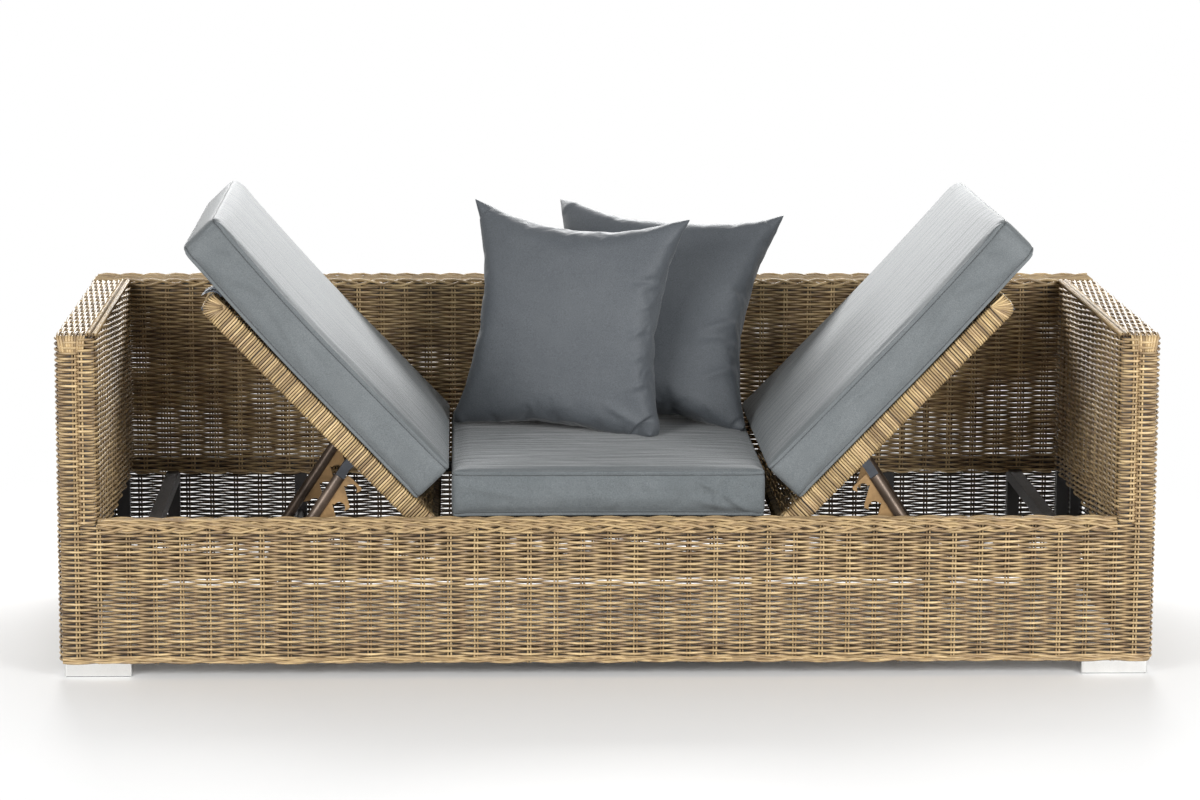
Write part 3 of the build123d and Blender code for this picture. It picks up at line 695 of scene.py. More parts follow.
def arm_walls(side, high_span, inner_span, low_span):
    """The outer, front and inner wall of one arm, and the side wall below it."""
    piece = Strands(side + "_arm_weave")
    start, stop = high_span
    UPPER.rows(piece, start, stop, HIGH_ROWS, 5, HIGH_SHIFT)
    UPPER.uprights(piece, range(start, stop + 1), APRON_TOP, WALL_TOP)
    inner_start, inner_stop = (UPPER.near(place) for place in inner_span)
    UPPER.rows(piece, inner_start, inner_stop, INNER_ROWS, 5, INNER_SHIFT)
    nodes = ["%s_arm_%s_weave" % (side, part) for part in ("outer", "front", "inner")]
    piece.build(wicker, "base", nodes)

    piece = Strands(side + "_side_low_weave")
    start, stop = low_span
    LOWER.rows(piece, start, stop, LOW_ROWS, inside=PAINTED_INSIDE_SHADE)
    stakes = range(start + 1, stop)
    LOWER.uprights(piece, stakes, FLOOR_GAP, APRON_TOP, PAINTED_INSIDE_SHADE)
    piece.build(wicker, "base", [side + "_arm_outer_weave"])


# Twist under the inner back: how far short and low it lies, its reach and its period
TWIST_INSET = 0.004
TWIST_DROP = 0.002
TWIST_REACH = (0.003, 0.0035)
TWIST_PERIOD = 0.103


def inner_back():
    """The inner wall of the back, with a twist of two strands under it."""
    piece = Strands("back_inner_wall_weave")
    UPPER.rows(piece, INSIDE_LEFT, INSIDE_RIGHT, HIGH_ROWS, 5, HIGH_SHIFT)
    UPPER.rows(piece, INSIDE_LEFT, INSIDE_RIGHT, INNER_ROWS, 5, INNER_SHIFT)
    UPPER.uprights(piece, range(INSIDE_LEFT + 1, INSIDE_RIGHT), INNER_LOW, WALL_TOP)
    end = INNER_X - TWIST_INSET
    edge = (INNER_Y + WEAVE_DEPTH, INNER_LOW - TWIST_DROP)
    piece.add(plait(-end, end, edge, TWIST_REACH, TWIST_PERIOD, 2), STRAND, (0, 1, 0))
    piece.build(wicker, "base", ["back_inner_weave"])


def woven_walls():
    """All upright walls, each a piece of its own."""
    apron_and_back()
    left_inside = (HIGH_MARKS[2] + FIRST_STAKE, HIGH_MARKS[3] - INSIDE_STAKE)
    arm_walls("left", (LEFT_END, INSIDE_LEFT), left_inside, (BACK_LEFT, FRONT_LEFT))
    right_inside = (HIGH_MARKS[4] + INSIDE_STAKE, HIGH_MARKS[5] - FIRST_STAKE)
    arm_walls("right", (INSIDE_RIGHT, RIGHT_END), right_inside, (FRONT_RIGHT, BACK_RIGHT))
    inner_back()


def plait(start, end, centre, reach, period, count=3, steps=8):
    """Paths of a flat plait along X. Centre and reach are (y, z) pairs."""
    places = evenly(start, end, period / steps)
    turn = 2 * math.pi * (places / period + np.arange(count)[:, None] / count)
    y = centre[0] + reach[0] * np.sin(2 * turn)
    z = centre[1] + reach[1] * np.sin(turn)
    return paths_of(places, y, z)


def rope(start, end, centre, radius, period, hand, count=2, steps=6):
    """Paths of a twisted rope along Y. Centre is an (x, z) pair."""
    places = evenly(start, end, period / steps)
    turn = 2 * math.pi * (places / period + np.arange(count)[:, None] / count) * hand
    x = centre[0] + radius * np.cos(turn)
    return paths_of(x, places, centre[1] + radius * np.sin(turn))


# Flat weave of the tops: spacing, depth under the top, and wave of the rows
FLAT_PITCH = 0.0053
FLAT_WAVE = 0.0026
BACK_TOP_LEVEL = ARM_TOP - 0.0052
BACK_EDGE_LEVEL = ARM_TOP - 0.0075
BACK_REACH = (0.0035, 0.0066)
BACK_PERIOD = 0.144
BORDER_STRAND = 0.0027

# Back top: level ends, place and end of each plait, and places of rows and stakes
BACK_END = HALF_WIDTH - 0.006
BACK_ROW_END = BACK_END - 0.001
BACK_PLAITS = ((INNER_Y + 0.0035, INNER_X + 0.012), (BACK - 0.0045, BACK_END))
BACK_ROWS = np.arange(INNER_Y + 0.012, BACK - 0.011, FLAT_PITCH)[:, None]
BACK_ACROSS = np.linspace(INNER_Y + 0.004, BACK - 0.005, 8)
BACK_STRAY = 0.0004
BACK_STRAY_LENGTH = 0.2
BACK_SEED = 4


def back_top():
    """Plaits along both top edges of the back, and flat weave between them."""
    piece = Strands("back_top_plait")
    for y, end in BACK_PLAITS:
        paths = plait(-end, end, (y, BACK_EDGE_LEVEL), BACK_REACH, BACK_PERIOD)
        piece.add(paths, BORDER_STRAND, (0, 1, 0))
    places = evenly(-BACK_ROW_END, BACK_ROW_END, PITCH / STEPS)
    numbers = np.arange(len(BACK_ROWS))[:, None]
    stray = BACK_STRAY * slow_noise(numbers, places, BACK_STRAY_LENGTH, BACK_SEED)
    z = BACK_TOP_LEVEL + FLAT_WAVE * swing(places, len(BACK_ROWS))
    piece.add(paths_of(places, BACK_ROWS + stray, z), STRAND, (0, 0, 1))
    stakes = paired(np.arange(-BACK_END, BACK_END, PITCH))[:, None]
    piece.add(paths_of(stakes, BACK_ACROSS, BACK_TOP_LEVEL), STAKE, (0, 0, 1), 4)
    piece.build(wicker, "base", ["back_top_border"])


# Depth behind the front and under the top, reach and strand of the apron's plaits
APRON_PLAITS = (
    ((0.0005, 0.0165), (0.0035, 0.0075), 0.0027),
    ((0.006, 0.005), (0.0030, 0.0042), 0.0024),
    ((0.014, 0.003), (0.003, 0.0022), 0.0024),
)
APRON_PERIOD = 0.155
APRON_END = INNER_X + 0.004
APRON_LEVEL = BORDER_TOP - 0.0052
APRON_ROWS = np.arange(FRONT + 0.018, FRONT + 0.040, FLAT_PITCH)[:, None]
LIP_STRAND = 0.002
LIP_WAVE = 0.0014
LIP_PLACE = FRONT + 0.0372
LIP_ROWS = np.arange(BORDER_TOP - 0.030, BORDER_TOP - 0.006, FLAT_PITCH)[:, None]
FLOOR_STRAND = 0.0026
FLOOR_PERIOD = 0.21
FLOOR_END = HALF_WIDTH - 0.008
FLOOR_PLACE = (FRONT + 0.004, FLOOR_GAP + 0.007)
FLOOR_REACH = (0.002, 0.004)


def apron_borders():
    """Plaits, flat weave and inner lip on the apron's top, and a plait at the floor."""
    piece = Strands("apron_plait")
    for (depth, drop), reach, radius in APRON_PLAITS:
        centre = (FRONT + depth, BORDER_TOP - drop)
        paths = plait(-APRON_END, APRON_END, centre, reach, APRON_PERIOD)
        piece.add(paths, radius, (0, 1, 0))
    places = evenly(-APRON_END, APRON_END, PITCH / STEPS)
    z = APRON_LEVEL + FLAT_WAVE * swing(places, len(APRON_ROWS))
    piece.add(paths_of(places, APRON_ROWS, z), STRAND, (0, 0, 1))
    y = LIP_PLACE + LIP_WAVE * swing(places, len(LIP_ROWS))
    piece.add(paths_of(places, y, LIP_ROWS), LIP_STRAND, (0, 0, 1), 4)
    paths = plait(-FLOOR_END, FLOOR_END, FLOOR_PLACE, FLOOR_REACH, FLOOR_PERIOD)
    piece.add(paths, FLOOR_STRAND, (0, 1, 0))
    piece.build(wicker, "base", ["apron_top_border"])


# Arm tops: rows that turn down over the front, and two ropes along the inner edge
ARM_ROWS = np.linspace(HALF_WIDTH - 0.0075, INNER_X + 0.0245, 10)[:, None]
ARM_LEVEL = ARM_TOP - 0.0055
ARM_WAVE = 0.0028
ARM_FRONT = FRONT + 0.012
ARM_BACK = INNER_Y + 0.004
ARM_TURN = 0.009
ARM_TURN_STEPS = 4
ARM_TAIL = 0.007
ARM_TAIL_LEAN = 0.0006
ARM_FAN = 0.006 * np.linspace(1, -0.6, len(ARM_ROWS))[:, None]
ARM_FAN_POWER = 1.5
ARM_STAKES = np.arange(FRONT + 0.03, ARM_BACK, PITCH)
ARM_ACROSS = np.linspace(INNER_X + 0.004, HALF_WIDTH - 0.005, 6)
ROPE_PLACE = INNER_X + 0.0055
ROPE_ENDS = (FRONT + 0.004, ARM_BACK + 0.004)
ROPE_LEVEL = ARM_TOP - 0.0045
ROPE_RADIUS = 0.0031
ROPE_STRAND = 0.0026
ROPE_PERIOD = 0.021
ROPE_APART = 0.0112
# painted light and shade: rope strands are lighter on top of the rope and darker below it
ROPE_TONE = 0.52
ROPE_PAINTED_TOP_LIGHT = 0.34


def arm_top(side, sign):
    """Flat weave over one arm, turned down over its front, with two ropes inside."""
    piece = Strands(side + "_arm_top_rows")
    places = np.arange(ARM_BACK, ARM_FRONT, -PITCH / STEPS)
    turn = np.linspace(0, math.pi / 2, ARM_TURN_STEPS + 1)[1:]
    tail = np.arange(3)
    over = ARM_FRONT - ARM_TURN
    ahead = ARM_FRONT - ARM_TURN * np.sin(turn)
    y = np.concatenate([places, ahead, over + ARM_TAIL_LEAN * tail])
    low = ARM_LEVEL - ARM_TURN
    down = np.concatenate([low + ARM_TURN * np.cos(turn), low - ARM_TAIL * (tail + 1)])
    level = ARM_LEVEL + ARM_WAVE * swing(places, len(ARM_ROWS))
    z = np.concatenate([level, np.tile(down, (len(ARM_ROWS), 1))], axis=1)
    fan = np.zeros(len(y))
    fan[len(places) :] = np.linspace(0, 1, len(down)) ** ARM_FAN_POWER
    x = sign * (ARM_ROWS - ARM_FAN * fan)
    piece.add(paths_of(x, y, z), STRAND, (1, 0, 0))
    stakes = paired(ARM_STAKES)[:, None]
    piece.add(paths_of(sign * ARM_ACROSS, stakes, ARM_LEVEL), STAKE, (0, 0, 1), 4)
    for number, hand in ((0, 1), (1, -1)):
        centre = (sign * (ROPE_PLACE + ROPE_APART * number), ROPE_LEVEL)
        paths = rope(*ROPE_ENDS, centre, ROPE_RADIUS, ROPE_PERIOD, hand * sign)
        # painted light and shade by height on the rope
        height = (paths[..., 2] - ROPE_LEVEL) / ROPE_RADIUS
        tone = ROPE_TONE + ROPE_PAINTED_TOP_LIGHT * height
        piece.add(paths, ROPE_STRAND, (0, 0, 1), tone=tone)
    piece.build(wicker, "base", [side + "_arm_top_weave"])


# Seat panels


def on_panel(sign):
    """The function that puts flat points along, across and above on a raised panel."""

    def place(points):
        points = np.asarray(points, float)
        along, y, above = points[..., 0], points[..., 1], points[..., 2]
        x = HINGE_X + along * math.cos(RAISED) - above * math.sin(RAISED)
        z = HINGE_Z + along * math.sin(RAISED) + above * math.cos(RAISED)
        return np.stack([sign * x, y, z], axis=-1)

    return place


def on_seat(points):
    """Points of the flat middle seat at its height."""
    return np.asarray(points, float) + (0, 0, HINGE_Z)


def ring_points(width, height, corner, per_corner=3):
    """A rounded rectangle round the origin, as points in its plane."""
    points = []
    for quarter in range(4):
        right = (1, -1, -1, 1)[quarter]
        upper = (1, 1, -1, -1)[quarter]
        for step in range(per_corner):
            turn = (quarter + step / (per_corner - 1)) * math.pi / 2
            x = right * (width / 2 - corner) + corner * math.cos(turn)
            y = upper * (height / 2 - corner) + corner * math.sin(turn)
            points.append((x, y))
    return np.array(points)


def wrap_core(corner):
    """The section of a member inside its wraps, and the slant of a wrap round it."""
    core = ring_points(BAND - 2 * WRAP, 2 * (PANEL_HALF - WRAP), corner)
    turns = np.arange(len(core)) / len(core) * 2 * math.pi
    return core, WRAP_SLANT * np.sin(turns)


def direction(place, way):
    """A direction on the flat panel, as it stands after placing."""
    return place(np.array(way, float)) - place(np.zeros(3))


def fan_wraps(strands, place, tip, toward, y_mid):
    """Wraps that fan out over one rounded end of a long member."""
    top = PANEL_HALF - WRAP
    start = tip - toward * FAN_ROOM
    pivot = np.array((start, top))
    arc = FAN_ARC - WRAP
    outline = [(start, -top), (tip - toward * FAN_ARC, -top)]
    for step in range(1, FAN_STEPS + 1):
        turn = step / FAN_STEPS * math.pi / 2
        across = tip - toward * (FAN_ARC - arc * math.sin(turn))
        outline.append((across, arc * (1 - math.cos(turn)) - top))
    outline.append((tip - toward * WRAP, top))
    outline = np.array(outline)
    gaps = np.linalg.norm(np.diff(outline, axis=0), axis=1)
    marks = np.concatenate([[0], np.cumsum(gaps)])
    for mark in np.arange(WRAP_PITCH / 2, marks[-1], WRAP_PITCH):
        outer = np.array([np.interp(mark, marks, outline[:, axis]) for axis in (0, 1)])
        length = np.linalg.norm(outer - pivot)
        way = (outer - pivot) / length
        ring = ring_points(BAND - 2 * WRAP, length, BAND_CORNER)
        middle = pivot + way * length / 2
        x = middle[0] - way[0] * ring[:, 1]
        z = middle[1] - way[1] * ring[:, 1]
        paths = paths_of(x, y_mid + ring[:, 0], z)
        normal = direction(place, (-way[1], 0, way[0]))
        strands.add(place(paths), WRAP, normal, closed=True)


def long_band(strands, place, start, end, y_mid, rounded):
    """Wraps round a long member, fanned over its ends if these are rounded."""
    core, slant = wrap_core(BAND_CORNER)
    room = FAN_ROOM if rounded else WRAP
    places = np.arange(start + room, end - room, WRAP_PITCH)[:, None]
    jitter = WRAP_JITTER * random.standard_normal((len(places), 1))
    paths = paths_of(places + slant + jitter, y_mid + core[:, 0], core[:, 1])
    strands.add(place(paths), WRAP, direction(place, (1, 0, 0)), closed=True)
    if rounded:
        fan_wraps(strands, place, end, 1, y_mid)
        fan_wraps(strands, place, start, -1, y_mid)


def cross_band(strands, place, middle, rounded):
    """Wraps round an end member."""
    core, slant = wrap_core(END_CORNER if rounded else BAND_CORNER)
    places = np.arange(PANEL_FRONT + BAND + WRAP, PANEL_BACK - BAND, WRAP_PITCH)[:, None]
    paths = paths_of(middle + core[:, 0], places + slant, core[:, 1])
    strands.add(place(paths), WRAP, (0, 1, 0), 4, closed=True)


def deck(strands, place, start, end):
    """Plain weave between the four members of a seat."""
    inset = BAND - DECK_OVERLAP
    near, far = PANEL_FRONT + inset, PANEL_BACK - inset
    pitch = DECK_STAKE_PITCH
    rows = np.arange(start + inset, end - inset, DECK_PITCH)
    places = np.arange(near, far + pitch / STEPS, pitch / STEPS)
    level = DECK_LEVEL + FLAT_WAVE * swing(places, len(rows), pitch)
    paths = paths_of(rows[:, None], places, level)
    strands.add(place(paths), DECK_STRAND, direction(place, (1, 0, 0)), 4)
    stakes = paired(np.arange(math.ceil(near / pitch) * pitch, far, pitch), DECK_STAKE_PAIR)
    span = np.linspace(start + inset, end - inset, DECK_STAKE_STEPS)
    paths = paths_of(span, stakes[:, None], DECK_LEVEL)
    strands.add(place(paths), DECK_STAKE, (0, 1, 0), 4)


def seat_panel(name, body, place, start, end, rounded, deck_node, wrap_node):
    """Wrapped members and woven deck of one seat."""
    strands = Strands(name + "_wraps")
    for y_mid in (PANEL_FRONT + BAND / 2, PANEL_BACK - BAND / 2):
        long_band(strands, place, start, end, y_mid, rounded)
    cross_band(strands, place, start + BAND / 2, rounded)
    cross_band(strands, place, end - BAND / 2, rounded)
    # the wraps and deck of the middle seat take the painted-shadow wicker
    strands.build(golden if rounded else shadow_wicker, body, [wrap_node])
    strands = Strands(name + "_deck")
    deck(strands, place, start, end)
    strands.build(wicker if rounded else shadow_wicker, body, [deck_node])


def panels():
    """The two raised panels and the fixed middle seat."""
    for side, sign in (("left", -1), ("right", 1)):
        name = side + "_panel"
        ends = (PANEL_START, PANEL_END)
        nodes = (name + "_weave", name + "_edge_wraps")
        seat_panel(name, name, on_panel(sign), *ends, True, *nodes)
    low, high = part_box("centre_seat_wraps")
    nodes = ("centre_seat_weave", "centre_seat_wraps")
    seat_panel("centre_seat", "base", on_seat, low[0], high[0], False, *nodes)


# Cushions: sizes, place, grid, seams, corners and swelling
CUSHION_HEIGHT = 0.088
CUSHION_DEPTH = 0.725
CUSHION_FRONT = -0.395
RAISED_START = 0.0556
RAISED_END = 0.7125
CUSHION_GAP = 0.0003
CELL = 0.009
EDGE_CELLS = (0.0, 0.003, 0.0065, 0.011)
SEAM_LEVEL = 2
SEAM_DEPTH = 0.0026
THREAD_DEPTH = 0.0011
PLAN_CORNER = 0.028
SMALL_CORNER = 0.010
END_ROUND = 0.011
SMALL_ROUND = 0.004
DRAW_IN = 0.003
SWELL_LIMIT = 0.0028
END_SWELL = 0.2
CLOTH_MASS = 0.3
CLOTH_STIFFNESS = 25
TINY = 1e-9


def spaced(length):
    """Grid places over a length, closer together near both ends."""
    edge = np.array(EDGE_CELLS)
    count = max(3, round((length - 2 * edge[-1]) / CELL))
    middle = np.linspace(edge[-1], length - edge[-1], count + 1)
    return np.concatenate([edge[:-1], middle, length - edge[:-1][::-1]])


def mesh_piece(name, points, faces):
    """A mesh object from points and faces, in the scene."""
    mesh = bpy.data.meshes.new(name)
    mesh.from_pydata([tuple(point) for point in points], [], faces)
    mesh.update()
    return link_piece(name, mesh)


def round_corners(points, axes, half, near, far):
    """Rounds the corners of a box round the origin, seen along one axis.

    Near is the radius at the end with the lower x, and far the one at the other end.
    """
    radius = np.where(points[:, 0] > 0, far, near)[:, None]
    limit = half[axes] - radius
    clamped = np.clip(points[:, axes], -limit, limit)
    away = points[:, axes] - clamped
    length = np.linalg.norm(away, axis=1)
    outer = np.max(np.abs(away), axis=1)
    scale = np.where(length > 0, outer / np.maximum(length, TINY), 1)
    points[:, axes] = clamped + away * scale[:, None]


def box_cushion(name, length, far_corner, far_round):
    """A boxed cushion with its near lower edge at y = 0, and its two seam rings.

    Its plan has rounded corners and sides that draw in between them.
    """
    size = np.array((length, CUSHION_DEPTH, CUSHION_HEIGHT))
    places = [spaced(value) for value in size]
    counts = [len(values) - 1 for values in places]
    index = {}
    points = []
    faces = []

    def vertex(spot):
        if spot not in index:
            index[spot] = len(points)
            points.append([values[step] for values, step in zip(places, spot)])
        return index[spot]

    for axis, first, second in ((2, 0, 1), (0, 1, 2), (1, 0, 2)):
        for end in (0, counts[axis]):
            inward = (end == 0) != (axis == 1)
            for i in range(counts[first]):
                for j in range(counts[second]):
                    quad = []
                    for u, v in ((i, j), (i + 1, j), (i + 1, j + 1), (i, j + 1)):
                        spot = [end] * 3
                        spot[first], spot[second] = u, v
                        quad.append(vertex(tuple(spot)))
                    faces.append(quad[::-1] if inward else quad)

    half = size / 2
    points = np.array(points) - half
    round_corners(points, [0, 2], half, SMALL_ROUND, far_round)
    round_corners(points, [0, 1], half, SMALL_CORNER, far_corner)
    share = points[:, :2] / half[:2]
    draw = DRAW_IN * (1 - share[:, 0] ** 2) * np.abs(share[:, 1]) ** 3
    points[:, 1] -= np.sign(points[:, 1]) * draw

    nx, ny, nz = counts
    walk = [(i, 0) for i in range(nx)] + [(nx, j) for j in range(ny)]
    walk += [(i, ny) for i in range(nx, 0, -1)] + [(0, j) for j in range(ny, 0, -1)]
    levels = (SEAM_LEVEL, nz - SEAM_LEVEL)
    rings = [[index[(i, j, level)] for i, j in walk] for level in levels]
    return mesh_piece(name, points + half, faces), rings


def read_points(piece):
    """The vertex places of a mesh object."""
    points = np.empty(len(piece.data.vertices) * 3)
    piece.data.vertices.foreach_get("co", points)
    return points.reshape(-1, 3)


def write_points(piece, points):
    """Sets the vertex places of a mesh object."""
    piece.data.vertices.foreach_set("co", points.ravel())
    piece.data.update()


def inflate(piece, cap, pressure, frames, bending=0.6, shrink=0.0, along=1.0):
    """Swells a closed mesh with a short cloth simulation and caps its movement.

    Along is the share of the movement that is kept in X. The underside stays flat.
    """
    bpy.context.view_layer.objects.active = piece
    for other in bpy.context.selected_objects:
        other.select_set(False)
    piece.select_set(True)
    before = read_points(piece)
    cloth = piece.modifiers.new("Cloth", "CLOTH")
    settings = cloth.settings
    settings.quality = 5
    settings.mass = CLOTH_MASS
    settings.tension_stiffness = CLOTH_STIFFNESS
    settings.compression_stiffness = CLOTH_STIFFNESS
    settings.shear_stiffness = CLOTH_STIFFNESS / 3
    settings.bending_stiffness = bending
    settings.use_pressure = True
    settings.uniform_pressure_force = pressure
    settings.shrink_min = shrink
    settings.shrink_max = shrink
    settings.effector_weights.gravity = 0
    cloth.collision_settings.use_collision = False
    cloth.point_cache.frame_start = 1
    cloth.point_cache.frame_end = frames
    scene = bpy.context.scene
    for number in range(1, frames + 1):
        scene.frame_set(number)
    bpy.ops.object.modifier_apply(modifier="Cloth")
    scene.frame_set(1)
    moved = read_points(piece) - before
    length = np.linalg.norm(moved, axis=1)
    share = np.minimum(1, cap / np.maximum(length, TINY))
    after = before + moved * share[:, None] * (along, 1, 1)
    after[:, 2] = np.maximum(after[:, 2], before[:, 2].min())
    write_points(piece, after)
    print(piece.name, "moved", round(float(length.max()), 4), "of", cap)


def subdivide(piece):
    """One level of subdivision, applied."""
    modifier = piece.modifiers.new("Subdivision", "SUBSURF")
    modifier.levels = 1
    bpy.context.view_layer.objects.active = piece
    bpy.ops.object.modifier_apply(modifier="Subdivision")


def finish_soft(piece, material, body, node):
    """Material, body and replaced node of a soft piece."""
    piece.data.materials.clear()
    piece.data.materials.append(material)
    piece.data.shade_smooth()
    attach(piece, body)
    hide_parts(node)


def sink_seams(piece, rings):
    """Pulls the seam rings of a cushion inwards, and returns where the thread lies."""
    points = read_points(piece)
    threads = []
    for ring in rings:
        line = points[ring]
        ahead = unit(np.roll(line, -1, axis=0) - np.roll(line, 1, axis=0))
        outward = np.stack([ahead[:, 1], -ahead[:, 0], 0 * ahead[:, 0]], axis=-1)
        points[ring] = line - SEAM_DEPTH * outward
        threads.append(line - THREAD_DEPTH * outward)
    write_points(piece, points)
    return threads


def smooth_step(values, start, end):
    """0 before start, 1 after end, and a smooth rise between them."""
    share = np.clip((values - start) / (end - start), 0, 1)
    return share * share * (3 - 2 * share)


FOLD_GAIN = 1.7
FOLD_TAPER = 0.12


def add_folds(points, folds, weight):
    """Raises or sinks soft creases along short lines on the front of a soft piece.

    A fold is its start and end across and up, its height and its width, in mm.
    """
    for fold in np.array(folds) / 1000:
        start, end, (height, width) = fold[:2], fold[2:4], fold[4:]
        way = end - start
        place = points[:, [0, 2]] - start
        share = np.clip(place @ way / (way @ way), 0, 1)
        away = np.linalg.norm(place - share[:, None] * way, axis=1)
        taper = np.sin(math.pi * (FOLD_TAPER + (1 - 2 * FOLD_TAPER) * share))
        points[:, 1] -= FOLD_GAIN * height * taper * np.exp(-((away / width) ** 2)) * weight


# Creases and ripples of the seat cushions
FRONT_ROOM = 0.012
RIPPLE = 0.0003
RIPPLE_WAVES = ((0.034, 0.31), (0.055, 0.22), (0.021, 0.4))
RIPPLE_WANDER = 0.9
RIPPLE_PATCH = (0.27, 0.19)
PATCH_SHARE = 0.45
MIDDLE_CROWN = 0.005
RAISED_CROWN = 0.009
MIDDLE_FOLDS = (
    (470, 74, 505, 52, 4.5, 6),
    (505, 52, 509, 20, 3.8, 6),
    (509, 54, 572, 8, 4.2, 7),
    (460, 36, 535, 16, 3, 7),
    (527, 70, 508, 46, -3, 7),
    (20, 62, 130, 40, 2, 8),
    (130, 40, 440, 36, 1.6, 9),
    (190, 72, 200, 40, 1.8, 10),
    (260, 74, 275, 46, 2, 9),
    (325, 70, 335, 30, -2, 10),
    (365, 74, 385, 50, 2.2, 8),
    (300, 16, 320, 34, 1.6, 7),
    (420, 12, 455, 50, -1.8, 9),
    (555, 70, 585, 50, -2.2, 8),
)
RAISED_FOLDS = (
    (50, 20, 190, 50, 2, 8),
    (140, 75, 300, 50, 2, 7),
    (300, 50, 360, 58, -2.2, 7),
    (330, 30, 500, 66, 2.2, 8),
    (490, 66, 585, 26, 1.8, 8),
    (560, 76, 600, 46, -2, 8),
)


def ripples(points, seed):
    """Long shallow wrinkles of the top cover, along the cushion."""
    x, y = points[:, 0], points[:, 1]
    height = 0
    spots = 2 * math.pi * (x / RIPPLE_PATCH[0] - y / RIPPLE_PATCH[1])
    for number, (wide, long) in enumerate(RIPPLE_WAVES):
        phase = 2 * math.pi * hash_noise(seed + number, 3)
        wander = RIPPLE_WANDER * np.sin(2 * math.pi * x / long + phase)
        patch = 1 - PATCH_SHARE + PATCH_SHARE * np.sin(spots + 2 * phase)
        height = height + patch * np.sin(2 * math.pi * y / wide + wander + phase)
    return RIPPLE * height


def shape_cushion(piece, length, crown, folds, seed):
    """Crown, ripples and creases of a cushion, in its own coordinates."""
    points = read_points(piece)
    across = 2 * points[:, 1] / CUSHION_DEPTH - 1
    along = 2 * points[:, 0] / length - 1
    top = smooth_step(points[:, 2], CUSHION_HEIGHT / 2, CUSHION_HEIGHT)
    dome = np.clip(1 - along**2, 0, 1) * np.clip(1 - across**2, 0, 1)
    front = 1 - smooth_step(points[:, 1], 0, FRONT_ROOM)
    add_folds(points, folds, front)
    points[:, 2] += top * (crown * np.sqrt(dome) + ripples(points, seed))
    write_points(piece, points)


def cloth_places(piece):
    """Keeps the piece's own coordinates for its cloth pattern."""
    cloth = piece.data.attributes.new("cloth", "FLOAT_VECTOR", "POINT")
    cloth.data.foreach_set("vector", read_points(piece).astype(np.float32).ravel())


# Stitches: pitch, visible length and thread radius
STITCH_PITCH = 0.0062
STITCH_LENGTH = 0.0049
STITCH_STRAND = 0.0011


def stitches(name, rings, place, body):
    """Short thread stitches along the seams of a cushion."""
    strands = Strands(name)
    for ring in rings:
        line = np.concatenate([ring, ring[:1]])
        gaps = np.linalg.norm(np.diff(line, axis=0), axis=1)
        marks = np.concatenate([[0], np.cumsum(gaps)])
        starts = np.arange(0, marks[-1] - STITCH_PITCH, STITCH_PITCH)[:, None]
        spots = starts + np.array([0, 0.5, 1]) * STITCH_LENGTH
        paths = np.stack([np.interp(spots, marks, line[:, axis]) for axis in range(3)], -1)
        strands.add(place(paths), STITCH_STRAND, (0, 0, 1), 4)
    strands.build(seam_thread, body, ())


# Rise of the upper end of each raised cushion, and how the cushions are filled
LIFTS = {"left": 0.015, "right": 0.011}
LIFT_START = 0.30
CUSHION_PRESSURE = 2.2
CUSHION_FRAMES = 12


def finish_cushion(piece, cloth, place, seams, name, body, node):
    """Puts a cushion in its place, with its cloth, its stitches and its node."""
    cloth_places(piece)
    write_points(piece, place(read_points(piece)))
    finish_soft(piece, cloth, body, node)
    stitches(name + "_stitches", seams, place, body)


def seat_cushions():
    """Two raised cushions and the middle one."""
    low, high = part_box("centre_cushion")
    lengths = (high[0] - low[0], RAISED_END - RAISED_START)
    made = (
        box_cushion("centre_seat_pad", lengths[0], SMALL_CORNER, SMALL_ROUND),
        box_cushion("right_panel_pad", lengths[1], PLAN_CORNER, END_ROUND),
    )
    seams = []
    for piece, rings in made:
        inflate(piece, SWELL_LIMIT, CUSHION_PRESSURE, CUSHION_FRAMES, along=END_SWELL)
        seams.append(sink_seams(piece, rings))
        subdivide(piece)
    centre, right = made[0][0], made[1][0]
    left = link_piece("left_panel_pad", right.data.copy())
    shape_cushion(centre, lengths[0], MIDDLE_CROWN, MIDDLE_FOLDS, 1)
    shape_cushion(right, lengths[1], RAISED_CROWN, RAISED_FOLDS, 2)
    shape_cushion(left, lengths[1], RAISED_CROWN, RAISED_FOLDS[::-1][:4], 5)

    def in_middle(points):
        return points + (low[0], CUSHION_FRONT, low[2])

    body, node = "centre_seat_cushion", "centre_cushion"
    finish_cushion(centre, seat_cloth, in_middle, seams[0], "centre_seat", body, node)
    for side, sign, piece in (("right", 1, right), ("left", -1, left)):

        def on_raised(points):
            lift = smooth_step(points[..., 0], LIFT_START, 2 * lengths[1] - LIFT_START)
            moved = points + (RAISED_START, CUSHION_FRONT, PANEL_HALF + CUSHION_GAP)
            moved[..., 2] += 2 * LIFTS[side] * lift
            return on_panel(sign)(moved)

        name = side + "_panel"
        body, node = name + "_cushion", side + "_cushion"
        finish_cushion(piece, cushion_cloth, on_raised, seams[1], name, body, node)
    left.data.flip_normals()


# Pillows: grid, hollow sides, starting thickness, swelling and filling
PILLOW_CELLS = 72
PILLOW_SAG = 0.02
PILLOW_START = 0.065
PILLOW_JITTER = 0.0002
PILLOW_SWELL = 0.05
PILLOW_PRESSURE = 2.6
PILLOW_FRAMES = 20
PILLOW_BENDING = 0.2
PILLOW_SHRINK = -0.015
TIP_RADIUS = 0.022


